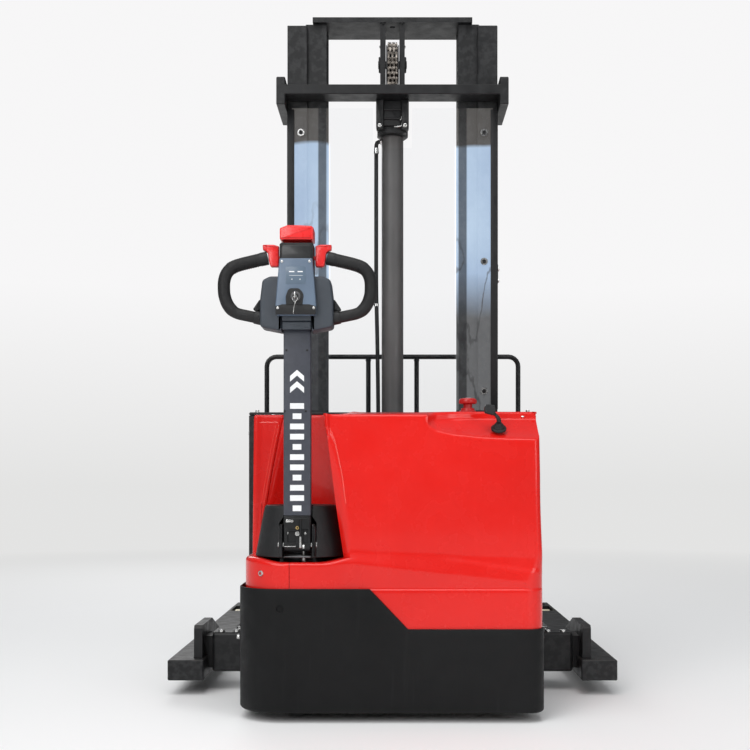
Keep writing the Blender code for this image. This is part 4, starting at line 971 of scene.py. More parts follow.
def skirt_piece():
    """The black skirt, its top edge stepping down to the right."""
    half, rear = high("lower_skirt").x - 0.0005, low("lower_skirt").y + 0.0005 - ahead(0.0)
    wide = half - 0.0115
    front = high("lower_skirt").y - ahead(0.0)
    foot, tall, short = low("lower_skirt").z + 0.001, high("lower_skirt").z, 0.249
    left, right = 0.118, 0.047
    plan = [(-half, front - (front - rear - left) * i / 8) for i in range(8)]
    plan += arc((-half + left, rear + left), left, 180, 270, 24)
    plan += [(x, rear) for x in (-0.24, -0.2, -0.16, -0.12, -0.09, -0.07)]
    plan += [(-0.06 + 0.101 * i / 24, rear) for i in range(25)]
    plan += [(x, rear) for x in (0.055, 0.09, 0.13, 0.18, 0.23, 0.28, 0.32)]
    plan += arc((wide - right, rear + right), right, 270, 360, 12)
    plan += [(wide, rear + right + (front - rear - right) * i / 8) for i in range(1, 9)]
    bottom_soft, top_soft = 0.008, 0.0035
    rows = [bottom_soft * (1 - math.cos(math.radians(a))) for a in (0, 22, 45, 67, 90)]
    pulls = [bottom_soft * (1 - math.sin(math.radians(a))) for a in (0, 22, 45, 67, 90)]
    grid = []
    for z, pull in zip(rows, pulls):
        grid.append([(p, lambda top, z=z: foot + z) for p in rounded_top(plan, pull)])
    for i in range(1, 12):
        grid.append([(p, lambda top, i=i: foot + bottom_soft + (top - top_soft - foot - bottom_soft) * i / 12)
                for p in plan])
    for a in (0, 30, 60, 90):
        z, pull = top_soft * math.sin(math.radians(a)), top_soft * (1 - math.cos(math.radians(a)))
        grid.append([(p, lambda top, z=z: top - top_soft + z) for p in rounded_top(plan, pull)])
    bm = bmesh.new()
    loops = []
    for row in grid:
        line = []
        for (p, height), source in zip(row, plan):
            top = steps([(-0.06, tall), (0.041, short)], source[0])
            line.append(bm.verts.new((p[0], ahead(p[1]), height(top))))
        loops.append(line)
    for a, b in zip(loops, loops[1:]):
        for i in range(len(a) - 1):
            bm.faces.new((a[i], a[i + 1], b[i + 1], b[i]))
    bmesh.ops.recalc_face_normals(bm, faces=bm.faces)
    if sum(f.normal.y for f in bm.faces if abs(f.normal.y) > 0.9) > 0:
        bmesh.ops.reverse_faces(bm, faces=bm.faces)
    obj = shell("skirt_shell", bm, 0.005)
    hole = Shape().lathe([(0, 0), (0.0105, 0), (0.01, 0.0215), (0.009, 0.0225), (0, 0.0225)],
            (-0.297, low("lower_skirt").y - 0.018, 0.302), FORWARD, 32)
    carve(obj, hole)
    finished(obj, "chassis", SKIRT, "lower_skirt", smooth=28)


skirt_piece()

# bolts of the covers
Shape().bolt((-0.345, ahead(0.0255), 0.394), (-0.6, -0.8, 0), 0.0098, "socket").piece("ledge_bolt", "chassis",
        ZINC)
screws = Shape()
screws.bolt((0.355, ahead(0.1), 0.8155), (0, -0.55, 0.83), 0.0062, "cross", washer=False)
for x in (-0.345, 0.345, 0.0):
    screws.bolt((x, ahead(0.3), TOP), UP, 0.0062, "cross")
for side, x in ((-1, low("lower_skirt").x + 0.0006), (1, high("lower_skirt").x - 0.0118)):
    for depth in (0.1, 0.27):
        screws.bolt((x, ahead(depth), 0.215), (side, 0, 0), 0.0075, "socket")
screws.piece("cover_screws", "chassis", ZINC)


# ---------------------------------------------------------------- drive cone and tiller base

def cone_piece():
    foot, top = low("cone_cover").z, high("cone_cover").z
    rise = top - foot
    wide = high("cone_cover").x - STEER.x - 0.0003
    narrow = wide - 0.0265
    at = (STEER.x, STEER.y, foot)
    profile = [(wide - 0.0042, 0.0), (wide - 0.0008, 0.0), (wide, 0.0012), (wide - 0.0006, 0.004),
            (narrow + 0.0026, rise - 0.01), (narrow + 0.0012, rise - 0.005), (narrow - 0.0012, rise - 0.0016),
            (narrow - 0.0045, rise - 0.0002), (narrow - 0.008, rise), (0.0, rise), (0.0, rise - 0.004),
            (narrow - 0.006, rise - 0.004)]
    slot = filleted([(-0.05, -0.05), (0.05, -0.05), (0.05, rise - 0.046), (0.0388, rise - 0.03),
            (0.0388, rise + 0.03), (-0.0388, rise + 0.03), (-0.0388, rise - 0.03), (-0.05, rise - 0.046)],
            [0, 0, 0.006, 0.006, 0, 0, 0.006, 0.006])
    slot = [(STEER.x + x, foot + z) for x, z in slot]
    tool = Shape().slab(slot, "Y", STEER.y - 0.2, STEER.y - 0.05)
    Shape().lathe(profile, at, count=112, closed=True).piece("cone_shell", "steering", PLASTIC, "cone_cover",
            edge=0.0012, smooth=26, cuts=[tool])


cone_piece()


def clevis_piece():
    """The clevis in the cone's slot."""
    clevis = Shape()
    for side in (-1, 1):
        cheek = filleted([(0.0388, 0.4372), (0.0492, 0.4372), (0.0492, 0.515), (0.044, 0.525),
                (0.0388, 0.525)], [0.001, 0.001, 0.004, 0.004, 0.001], 4)
        clevis.slab(steered(cheek, side), "Y", ahead(0.053), ahead(-0.0015), 0.0052, 6)
        leg = rect(0.0388, 0.3535, 0.0492, 0.44)
        clevis.slab(steered(leg, side), "Y", ahead(0.0535), ahead(0.0365), 0.001, 2)
    clevis.box((STEER.x - 0.0485, ahead(0.037), 0.3535), (STEER.x + 0.0485, ahead(0.053), 0.372))
    clevis.piece("clevis", "steering", STEEL, "tiller_bracket", smooth=32)


def casting_piece():
    pad = filleted([(-0.036, 0.4365), (0.036, 0.4365), (0.036, 0.4402), (0.014, 0.4412), (-0.02, 0.441),
            (-0.036, 0.4398)], 0.001)
    casting = Shape().slab(steered(pad), "Y", ahead(0.006), ahead(0.0352), 0.002, 4)
    casting.lathe([(0, 0), (0.009, 0), (0.0085, 0.0014), (0.006, 0.002), (0, 0.002)],
            (STEER.x + 0.006, ahead(0.019), 0.4405), UP, 24)
    casting.piece("base_casting", "steering", CAST, smooth=35)


KNUCKLE_R = 0.0176
KNUCKLE_FACE = PIVOT.y - KNUCKLE_R


def knuckle_piece():
    """The black knuckle that joins the arm to the clevis."""
    y, z0, face = PIVOT.y, PIVOT.z, KNUCKLE_FACE
    knuckle = Shape()
    side_view = arc((y, z0), KNUCKLE_R, 180, 360, 16) + [(y + KNUCKLE_R, 0.548), (face, 0.548)]
    knuckle.slab(filleted(side_view, [0] * 17 + [0.002, 0.002], 3), "X", STEER.x - 0.0358, STEER.x + 0.0358,
            0.0035, 4)
    hole = Shape().lathe(rect(0, 0, 0.0086, 0.2), (STEER.x - 0.1, y, z0), ACROSS, 28)
    pocket = filleted(rect(-0.026, 0.476, -0.002, 0.508), 0.004, 3)
    hollow = Shape().slab(steered(pocket), "Y", face - 0.01, face + 0.006)
    pocket = filleted(rect(0.015, 0.474, 0.029, 0.53), 0.004, 3)
    hollow.slab(steered(pocket), "Y", face - 0.01, face + 0.0045)
    knuckle.piece("arm_knuckle", "tiller", STEEL, "tiller_arm", edge=0.0008, cuts=[hole, hollow])


def knuckle_fittings():
    """The plate, buffer, rod and screws on the knuckle's face."""
    face = KNUCKLE_FACE
    dark, bright, brass = Shape(), Shape(), Shape()
    dark.slab(filleted([(STEER.x - 0.024, 0.512), (STEER.x + 0.033, 0.512), (STEER.x + 0.033, 0.542),
            (STEER.x - 0.034, 0.542), (STEER.x - 0.034, 0.523)], 0.004), "Y", face + 0.002, face - 0.0022,
            0.0014, 3)
    dark.rod((STEER.x - 0.0345, face - 0.0002, 0.466), (STEER.x - 0.001, face - 0.0002, 0.466), 0.0035)
    bright.rod((STEER.x - 0.033, face - 0.004, 0.4665), (STEER.x - 0.003, face - 0.004, 0.4665), 0.0006)
    dark.rod((STEER.x + 0.0089, face - 0.003, 0.492), (STEER.x + 0.0089, face - 0.003, 0.54), 0.003)
    bright.rod((STEER.x + 0.0089, face - 0.003, 0.4625), (STEER.x + 0.0089, face - 0.003, 0.493), 0.0033)
    bright.lathe([(0, 0), (0.0052, 0), (0.0055, 0.0008), (0.0055, 0.0042), (0.0048, 0.005), (0, 0.005)],
            (STEER.x + 0.015, face - 0.0005, 0.466), ACROSS, 6)
    bright.slab(filleted([(STEER.x - 0.03, 0.53), (STEER.x - 0.016, 0.531), (STEER.x - 0.016, 0.538),
            (STEER.x - 0.029, 0.5385)], 0.002), "Y", face - 0.0015, face - 0.0034, 0.0006, 2)
    bright.bolt((STEER.x - 0.013, face - 0.002, 0.5335), REARWARD, 0.0052, "socket", False)
    bright.bolt((STEER.x - 0.026, face + 0.005, 0.502), REARWARD, 0.0036, "hex", False)
    bright.lathe([(0, 0), (0.0066, 0), (0.0066, 0.0028), (0, 0.003)],
            (STEER.x + 0.001, face - 0.0012, 0.5005), REARWARD, 6)
    bright.bolt((STEER.x + 0.0215, face + 0.004, 0.501), REARWARD, 0.0034, "hex", False)
    brass.lathe([(0.0022, 0), (0.0044, 0), (0.0048, 0.001), (0.0044, 0.0036), (0.0022, 0.0036)],
            (STEER.x + 0.001, face - 0.002, 0.516), REARWARD, 24, closed=True)
    dark.piece("knuckle_plate", "tiller", STEEL, edge=0.0005)
    bright.piece("knuckle_hardware", "tiller", ZINC, smooth=30)
    brass.piece("knuckle_bush", "tiller", BRASS, slot="bright_steel")


clevis_piece()
casting_piece()
knuckle_piece()
knuckle_fittings()
dress("gas_spring", ZINC, 0.0006)
dress("tiller_pin", ZINC, 0.0008)


# ---------------------------------------------------------------- tiller and control head

ARM_HALF = high("tiller_arm").x - STEER.x
ARM_BACK = low("tiller_arm").y
ARM_TOP = high("tiller_arm").z


def arm_pieces():
    tube = Shape()
    plan = filleted(rect(STEER.x - ARM_HALF, ARM_BACK, STEER.x + ARM_HALF, high("tiller_arm").y), 0.0045, 5)
    tube.slab(plan, "Z", 0.5485, ARM_TOP, 0.001, 2)
    tube.piece("arm_tube", "tiller", ARM, "tiller_arm", smooth=30)
    marks = Shape()
    # plain white bars and two chevrons, in place of lettering
    y0, y1 = ARM_BACK - 0.0003, ARM_BACK + 0.0002
    half, tall, pitch = 0.0185, 0.015, 0.027
    for i in range(11):
        z = 0.56 + i * pitch
        reach = half if i % 3 else half * 0.62
        marks.slab(rect(STEER.x - reach, z, STEER.x + reach, z + tall), "Y", y1, y0)
    for i in range(2):
        z = 0.872 + i * 0.03
        marks.slab([(STEER.x - half, z), (STEER.x, z + 0.016), (STEER.x + half, z),
                (STEER.x + half, z + 0.015), (STEER.x, z + 0.031), (STEER.x - half, z + 0.015)], "Y", y1, y0)
    marks.piece("arm_bars", "tiller", WHITE, slot="tiller_grey")
    heads = Shape()
    for dx, z in ((-0.028, 0.985), (0.027, 0.985), (-0.033, 0.824), (0.023, 0.824)):
        heads.bolt((STEER.x + dx, ARM_BACK, z), REARWARD, 0.0032, "cross", False)
    heads.piece("arm_screws", "tiller", STEEL, slot="tiller_grey")


arm_pieces()


def shroud_pieces():
    """The head's housing: two shouldered halves, a middle band and the seams between them."""
    back, face = ahead(0.0555), low("head_shroud").y + 0.0003
    split = 0.0385
    seam = 0.0007
    outer = [(split + seam, 1.0338), (0.042, 1.0335), (0.096, 1.044), (0.0965, 1.075), (0.0965, 1.115),
            (0.09, 1.168), (0.07, 1.1775), (split + seam, 1.1775)]
    for side in (-1, 1):
        outline = filleted(outer, [0.001, 0.004, 0.012, 0.02, 0.02, 0.014, 0.02, 0.001], 6)
        outline = steered(outline, side)
        half = Shape().slab(outline, "Y", back, face, 0.0075, 5)
        half.piece("shroud_half_left" if side < 0 else "shroud_half_right", "tiller", SHROUD, "head_shroud",
                "tiller_grey", smooth=30)
    core = Shape()
    width = split - seam
    core.slab(filleted(rect(STEER.x - width, 1.0375, STEER.x + width, 1.0585), 0.003), "Y", ahead(0.0008),
            face + 0.0012, 0.003, 4)
    core.slab(rect(STEER.x - width, 1.06, STEER.x + width, 1.177), "Y", ahead(0.0008), face + 0.0004, 0.0012,
            2)
    core.slab(filleted(rect(STEER.x - width, 1.04, STEER.x + width, 1.177), 0.004), "Y", ahead(0.0392), back,
            0.006, 4)
    core.slab(rect(STEER.x - width, ARM_TOP + 0.001, STEER.x + width, 1.177), "Y", ahead(0.0), ahead(0.04))
    core.piece("shroud_core", "tiller", SHROUD, "head_shroud", "tiller_grey", smooth=30)


def handle_sockets():
    """The sockets that the loops plug into, with a brace under each."""
    ribs = Shape()
    for side in (-1, 1):
        brace = [(STEER.x + side * x, z) for x, z in ((0.0975, 1.092), (0.0975, 1.121), (0.1165, 1.093),
                (0.11, 1.088))]
        ribs.slab(filleted(brace, 0.002, 3), "Y", ahead(0.024), ahead(0.0), 0.0015, 2)
        ribs.sweep(curve([(STEER.x + side * 0.088, ahead(0.012), 1.069),
                (STEER.x + side * 0.112, ahead(0.012), 1.0745)], 4), 0.0186, 28)
        ribs.sweep(curve([(STEER.x + side * 0.0785, ahead(0.012), 1.2298),
                (STEER.x + side * 0.098, ahead(0.012), 1.2256)], 4), 0.0178, 28)
    ribs.piece("handle_sockets", "tiller", PLASTIC, edge=0.0012)


shroud_pieces()
handle_sockets()


def handle_pieces():
    line = [(0.0805, 1.2296), (0.11, 1.2228), (0.15, 1.213), (0.172, 1.2045), (0.1865, 1.19), (0.1935, 1.17),
            (0.1945, 1.148), (0.1925, 1.129), (0.1855, 1.109), (0.174, 1.093), (0.158, 1.083), (0.13, 1.0765),
            (0.096, 1.0695)]
    for side, name in ((-1, "handle_left"), (1, "handle_right")):
        path = curve([(STEER.x + side * x, ahead(0.012), z) for x, z in line], 150)
        radii = []
        for i, p in enumerate(path):
            t = i / (len(path) - 1)
            r = 0.0164
            if t < 0.34:
                ripple = 0.0006 * (0.5 + 0.5 * math.cos(2 * math.pi * i / 3.0))
                r = 0.0171 - ripple * smoothstep((t - 0.05) / 0.03) * (1 - smoothstep((t - 0.3) / 0.03))
            elif t > 0.72:
                r = 0.0164 - 0.0014 * smoothstep((t - 0.72) / 0.06)
            radii.append(r)
        loop = Shape().sweep(path, radii, 32)
        loop.piece(name + "_loop", "tiller", RUBBER, name, smooth=40)
        # finger ridges under the upper bar
        ridges = Shape()
        for i in range(14, 50, 3):
            p, q = path[i], path[i + 1]
            way = (q - p).normalized()
            down = Vector((0, 0, -1)) - way * Vector((0, 0, -1)).dot(way)
            down.normalize()
            out = way.cross(down).normalized()
            ring = [p + (down * math.cos(a) + out * math.sin(a)) * 0.0166
                    for a in [math.radians(-62 + 124 * k / 12) for k in range(13)]]
            ridges.sweep(ring, 0.0014, 8)
        ridges.piece(name + "_ridges", "tiller", RUBBER, smooth=50)


handle_pieces()


def neck_pieces():
    y = ahead(0.0)
    neck = Shape()
    body = filleted(balanced([(0.0445, 1.179), (0.0445, 1.262), (0.0405, 1.266)]),
            [0.003, 0.003, 0.004, 0.004, 0.004, 0.004])
    neck.slab(steered(body), "Y", y + 0.0455, y - 0.0175, 0.0045, 4)
    neck.slab([(STEER.x + x, z) for x, z in ((-0.037, 1.26), (0.037, 1.26), (0.037, 1.291), (-0.037, 1.291))],
            "Y", y + 0.0375, y - 0.0095, 0.0015, 2)
    tool = Shape().lathe(rect(0, 0, 0.0068, 0.2), (STEER.x - 0.1, ahead(0.012), 1.2295), ACROSS, 24)
    neck.piece("neck_block", "tiller", PLASTIC, "head_neck", smooth=30, cuts=[tool])
    window = Shape()
    pane = filleted(rect(-0.0384, 1.2221, 0.0384, 1.2592), [0.002, 0.002, 0.009, 0.009], 6)
    window.slab(steered(pane), "Y", y - 0.017, y - 0.02, 0.0012, 3)
    window.piece("neck_window", "tiller", DISPLAY, slot="cover_black", smooth=30)


neck_pieces()


def throttle_pieces():
    y = ahead(0.012)
    shaft = JOINTS["throttle_turn"]["pos_m"]
    wing = [(0.048, 1.2055), (0.0705, 1.2055), (0.0755, 1.224), (0.077, 1.241), (0.083, 1.247),
            (0.0905, 1.25), (0.0912, 1.264), (0.062, 1.264), (0.048, 1.26)]
    for side, name in ((-1, "throttle_left"), (1, "throttle_right")):
        outline = filleted(wing, [0.006, 0.006, 0.006, 0.006, 0.004, 0.004, 0.003, 0.004, 0.003], 4)
        shape = Shape().slab(steered(outline, side), "Y", y + 0.0108, y - 0.0108, 0.0042, 5)
        for k in range(4):
            z = 1.2525 + k * 0.0028
            shape.slab(rect(STEER.x + side * 0.079, z, STEER.x + side * 0.0895, z + 0.0013), "Y", y - 0.0095,
                    y - 0.0116, 0.0003, 2)
        shape.rod((STEER.x + side * 0.001, shaft[1], shaft[2]), (STEER.x + side * 0.055, shaft[1], shaft[2]),
                0.0058)
        shape.piece(name + "_wing", "throttle", BUTTON, name, smooth=30)


throttle_pieces()


def belly_piece():
    """Rounded red cap with a slanted right shoulder."""
    y = ahead(0.0)
    top = [(-0.044, 1.2732), (0.0442, 1.2732), (0.0448, 1.305), (0.038, 1.3095), (0.005, 1.3112),
            (-0.0236, 1.3112), (-0.044, 1.3033)]
    outline = filleted(top, [0.0045, 0.0045, 0.004, 0.006, 0.02, 0.01, 0.006], 6)
    cap = Shape().slab(steered(outline), "Y", y + 0.0495, y - 0.0205, 0.005, 5)
    # the lower half stands out as a slanted lip
    lip = filleted([(y - 0.016, 1.2738), (y - 0.0232, 1.2748), (y - 0.0224, 1.2862), (y - 0.0196, 1.29),
            (y - 0.016, 1.29)], [0, 0.002, 0.003, 0.002, 0], 4)
    cap.slab(lip, "X", STEER.x - 0.043, STEER.x + 0.0436, 0.0018, 3)
    tool = Shape().box((STEER.x - 0.0385, y - 0.0108, 1.2), (STEER.x + 0.0385, y + 0.0388, 1.2985))
    cap.piece("belly_cap", "belly_button", BUTTON, "belly_button", smooth=32, cuts=[tool])


belly_piece()


def panel_pieces():
    face, back = low("control_panel").y + 0.0042, high("control_panel").y
    plate = filleted(balanced([(0.052, 1.0718), (0.053, 1.1), (0.043, 1.2205)]),
            [0.006, 0.006, 0.01, 0.005, 0.005, 0.01])
    body = Shape().slab(steered(plate), "Y", back, face, 0.0038, 5)
    body.piece("panel_plate", "tiller", PANEL, "control_panel", smooth=30)
    dark, glass, white = Shape(), Shape(), Shape()
    band = filleted(balanced([(0.0525, 1.073), (0.0528, 1.095), (0.043, 1.0975), (0.035, 1.1)]), 0.003)
    dark.slab(steered(band), "Y", face + 0.002, face - 0.0006, 0.0006, 2)
    arch = filleted(balanced([(0.0215, 1.0985), (0.0225, 1.1205), (0.015, 1.1415)]),
            [0.002, 0.002, 0.012, 0.012, 0.012, 0.012], 6)
    dark.slab([(STEER.x + x - 0.0035, z) for x, z in arch], "Y", face + 0.002, face - 0.0022, 0.0016, 3)
    frame_line = filleted(rect(-0.026, 1.153, 0.026, 1.199), 0.004)
    glass.slab([(STEER.x + x, z) for x, z in frame_line], "Y", face + 0.002, face - 0.0007, 0.0005, 2)
    for x0, x1, z0, z1 in ((-0.017, -0.0035, 1.1835, 1.1862), (0.005, 0.0185, 1.1835, 1.1862),
            (-0.017, 0.0185, 1.1745, 1.1752), (-0.011, -0.0085, 1.164, 1.1662),
            (0.01, 0.0125, 1.164, 1.1662)):
        white.box((STEER.x + x0, face - 0.0009, z0), (STEER.x + x1, face - 0.0004, z1))
    dark.piece("panel_band", "tiller", PLASTIC, smooth=30)
    glass.piece("panel_display", "tiller", PANE, slot="panel_blue", smooth=30)
    white.piece("panel_marks", "tiller", WHITE, slot="panel_blue")
    heads = Shape()
    for x, z in ((-0.036, 1.2117), (0.036, 1.2117), (-0.047, 1.0905), (0.047, 1.0905)):
        heads.bolt((STEER.x + x, face - 0.0002, z), REARWARD, 0.004, "cross", False)
    heads.piece("panel_screws", "tiller", ZINC)


panel_pieces()


def key_pieces():
    pos = Vector(JOINTS["key_turn"]["pos_m"])
    tip = low("key").y + 0.0003
    face = low("control_panel").y
    lock = Shape().lathe([(0.007, 0.0005), (0.013, 0.0005), (0.013, 0.0035), (0.0118, 0.005), (0.0078, 0.005),
            (0.007, 0.004)], (pos.x, face + 0.0045, pos.z), REARWARD, 40, closed=True)
    lock.piece("key_lock", "tiller", CAST, smooth=30)
    plug = Shape().lathe([(0, 0), (0.0067, 0), (0.0067, 0.0032), (0, 0.0036)], (pos.x, face + 0.004, pos.z),
            REARWARD, 28)
    plug.lathe([(0.0132, 0), (0.02, 0), (0.0205, 0.0006), (0.02, 0.0016), (0.0132, 0.0016)],
            (pos.x, face + 0.004, pos.z), REARWARD, 48, closed=True)
    plug.piece("key_plug", "tiller", PLASTIC, smooth=30)
    blade = Shape().rod((pos.x, face - 0.0004, pos.z), (pos.x, face - 0.012, pos.z), 0.0035)
    mid = (face - 0.01 + tip) / 2
    bow = [(mid + y * 0.95, pos.z + z * 1.25) for y, z in [(abs(mid - tip) * math.cos(a) * 0.98,
            0.0085 * math.sin(a)) for a in [2 * math.pi * i / 36 for i in range(36)]]]
    blade.slab(bow, "X", pos.x - 0.0013, pos.x + 0.0013, 0.0004, 2)
    blade.piece("key_bow", "key", ZINC, "key", smooth=30)
    ring = [Vector((pos.x + 0.0062 * math.sin(a), tip + 0.0085, pos.z - 0.0105 + 0.0068 * math.cos(a)))
            for a in [2 * math.pi * i / 32 for i in range(33)]]
    wire = Shape().sweep(ring[:-1], 0.0007, 8)
    wire.sweep(curve([(pos.x + 0.002, tip + 0.009, pos.z - 0.0165), (pos.x - 0.001, tip + 0.008,
            pos.z - 0.026), (pos.x - 0.003, tip + 0.01, pos.z - 0.036),
            (pos.x - 0.004, tip + 0.011, pos.z - 0.048)], 24), 0.0008, 8)
    wire.piece("key_ring", "key", ZINC)


key_pieces()


# ---------------------------------------------------------------- lever and emergency stop

def lever_pieces():
    hub = Vector(JOINTS["valve_lever_tilt"]["pos_m"])
    slope = math.atan(1 / TRAY_SLOPE)
    normal = Vector((0, -math.sin(slope), math.cos(slope)))
    foot = hub - normal * 0.0265
    boot = Shape().lathe([(0, -0.003), (0.0205, -0.002), (0.0208, 0.0008), (0.0202, 0.0022), (0.0165, 0.0036),
            (0.015, 0.006), (0.0148, 0.0078), (0.0128, 0.009), (0.0126, 0.0108), (0.0106, 0.012),
            (0.0104, 0.0138), (0.0088, 0.0152), (0.008, 0.0175), (0.0, 0.018)], foot, normal, 40)
    boot.piece("lever_boot_folds", "chassis", RUBBER, "lever_boot", smooth=35)
    neck = hub + Vector((-0.012, 0.0015, 0.017))
    stem = Shape()
    stem.sweep(curve([hub - normal * 0.005, hub + Vector((-0.003, 0.0, 0.005)), neck,
            neck + Vector((-0.006, 0.001, 0.0085))], 14), [0.006 - 0.0026 * smoothstep(i / 14)
            for i in range(15)], 20)
    stem.piece("lever_stem", "valve_lever", PLASTIC, "valve_lever", smooth=40)
    x, z, y = neck.x - 0.013, neck.z + 0.006, neck.y
    grip = filleted([(x - 0.0135, z - 0.005), (x + 0.012, z - 0.0115), (x + 0.0155, z + 0.002),
            (x + 0.013, z + 0.016), (x - 0.009, z + 0.0195), (x - 0.015, z + 0.01)], 0.004, 4)
    knob = Shape().slab(grip, "Y", y + 0.012, y - 0.01, 0.0035, 4)
    knob.piece("lever_knob", "valve_lever", PLASTIC, smooth=34)


lever_pieces()


def estop_pieces():
    at = (0.212, middle("estop_button").y, TOP + 0.0004)
    base = Shape().lathe([(0.0135, 0), (0.0235, 0), (0.0238, 0.0015), (0.0238, 0.006), (0.0222, 0.008),
            (0.0195, 0.009), (0.019, 0.013), (0.018, 0.015), (0.0135, 0.015)], at, UP, 48, closed=True)
    base.piece("estop_base", "chassis", STOP, "estop_collar", "collar_red", smooth=30)
    head = Shape().lathe([(0, 0.0095), (0.0125, 0.0095), (0.0125, 0.0262), (0.015, 0.0268), (0.0225, 0.0272),
            (0.0248, 0.0286), (0.0254, 0.031), (0.0254, 0.035), (0.0246, 0.0385), (0.0225, 0.0412),
            (0.019, 0.0425), (0.012, 0.043), (0.006, 0.0432), (0.0, 0.0433)], at, UP, 56)
    head.piece("estop_head", "estop_button", STOP, "estop_button", "button_red", smooth=30)
    arrows = Shape()
    for i in range(3):
        a0 = 120 * i
        outer = arc((0, 0), 0.0135, a0, a0 + 62, 8)
        inner = arc((0, 0), 0.0115, a0 + 62, a0, 8)
        tip = (0.0125 * math.cos(math.radians(a0 + 82)), 0.0125 * math.sin(math.radians(a0 + 82)))
        wide = [(0.0152 * math.cos(math.radians(a0 + 62)), 0.0152 * math.sin(math.radians(a0 + 62))), tip,
                (0.0098 * math.cos(math.radians(a0 + 62)), 0.0098 * math.sin(math.radians(a0 + 62)))]
        outline = [(at[0] + x, at[1] + y) for x, y in outer + wide + inner]
        arrows.slab(outline, "Z", at[2] + 0.0415, at[2] + 0.0434)
    arrows.piece("estop_arrows", "estop_button", WHITE, slot="button_red")


estop_pieces()


# ---------------------------------------------------------------- mast

for name in ("mast_channel_left", "mast_channel_right", "inner_channel_left", "inner_channel_right"):
    dress(name, STEEL, 0.0022, 3)
dress("mast_crossmember", STEEL, 0.0035, 3)
dress("mast_foot", STEEL, 0.002)
dress("inner_top_plate", STEEL, 0.0018, 2)
# the guard sheet carries a painted reflection of a yard, glowing as emission
dress("guard_shield", SHEET_PAINTED_REFLECTION)
CYL = middle("piston_rod")


def fixed_mast_details():
    """Guide pads, welds and bolts of the fixed mast."""
    fixed, welds, bolts = Shape(), Shape(), Shape()
    outer, top = high("mast_channel_right").x, high("mast_channel_right").z
    for side in (-1, 1):
        for depth in (0.64, 0.705):
            bolts.bolt((side * (high("mast_crossmember").x - 0.0003), ahead(depth), 1.849), (side, 0, 0),
                    0.008, "hex")
        # weld beads where the crossmember meets its end plates
        for z in (1.838, 1.866):
            welds.weld([(side * 0.3325, ahead(0.53), z), (side * 0.3328, ahead(0.56), z),
                    (side * 0.3325, ahead(0.59), z)], 30, 0.0026, 0.0005, 1.9)
        for z in (1.3, 0.7):
            fixed.slab(filleted(rect(side * outer - side * 0.0005, z - 0.03, side * (outer + 0.006),
                    z + 0.03), 0.001), "Y", ahead(0.64), ahead(0.69), 0.0015, 2)
            for dz in (-0.018, 0.018):
                bolts.bolt((side * (outer + 0.006), ahead(0.665), z + dz), (side, 0, 0), 0.007, "hex")
        fixed.box((side * (outer - 0.011), ahead(0.603), top - 0.004),
                (side * (outer - 0.05), ahead(0.612), top - 0.0005))
    fixed.piece("mast_pads", "chassis", STEEL, edge=0.0008)
    welds.piece("mast_welds", "chassis", STEEL, smooth=60)
    bolts.piece("mast_bolts", "chassis", ZINC, smooth=30)


def inner_mast_details():
    """Bosses, welds and clips of the sliding mast."""
    inner = Shape()
    axle_z = JOINTS["sheave_spin"]["pos_m"][2]
    for side in (-1, 1):
        inner.lathe([(0, 0), (0.0235, 0), (0.0245, 0.001), (0.0245, 0.004), (0.0225, 0.0052), (0, 0.0052)],
                (side * 0.0392, CYL.y, axle_z), (side, 0, 0), 32)
        inner.sweep(curve([(side * 0.0305, low("inner_top_plate").y - 0.0005, 2.085),
                (side * 0.0305, low("inner_top_plate").y - 0.0005, 2.088)], 2), 0.003, 8)
        for y0 in (low("inner_channel_right").y + 0.004, high("inner_channel_right").y - 0.004):
            inner.weld([(side * x, y0, high("inner_channel_right").z + 0.0004) for x in (0.212, 0.25)], 28,
                    wave=2.1)
    inner.piece("sheave_bosses", "inner_mast", STEEL, smooth=35)
    clips = Shape()
    for side in (-1, 1):
        clips.lathe([(0, 0), (0.0118, 0), (0.0112, 0.0016), (0.005, 0.002), (0.0042, 0.0006), (0, 0.0004)],
                (side * 0.0442, CYL.y, axle_z), (side, 0, 0), 28)
        clips.bolt((side * 0.0392, CYL.y - 0.016, axle_z + 0.052), (side, 0, 0), 0.0045, "hex", False)
    clips.piece("sheave_clips", "inner_mast", ZINC, smooth=30)


fixed_mast_details()
inner_mast_details()


def shield_bolts():
    rings, heads = Shape(), Shape()
    y = low("guard_shield").y
    for side in (-1, 1):
        for z in (1.739, 1.331, 0.921):
            rings.lathe([(0.0045, 0), (0.0115, 0), (0.012, 0.0008), (0.0112, 0.0022), (0.0045, 0.0022)],
                    (side * 0.29, y, z), REARWARD, 32, closed=True)
            heads.lathe([(0, 0), (0.0068, 0), (0.007, 0.001), (0.0062, 0.005), (0.0036, 0.0056),
                    (0.0034, 0.003), (0, 0.0028)], (side * 0.29, y, z), REARWARD, 24)
    rings.piece("shield_washers", "chassis", ZINC, smooth=30)
    heads.piece("shield_bolts", "chassis", STEEL, smooth=30)
    trim = Shape()
    for side in (-1, 1):
        x0, x1 = side * 0.3105, side * 0.3335
        trim.slab(filleted(rect(x0, 0.862, x1, 1.812), 0.003), "Y", y + 0.0042, y - 0.0022, 0.0008, 2)
    trim.piece("shield_edges", "chassis", STEEL)


shield_bolts()


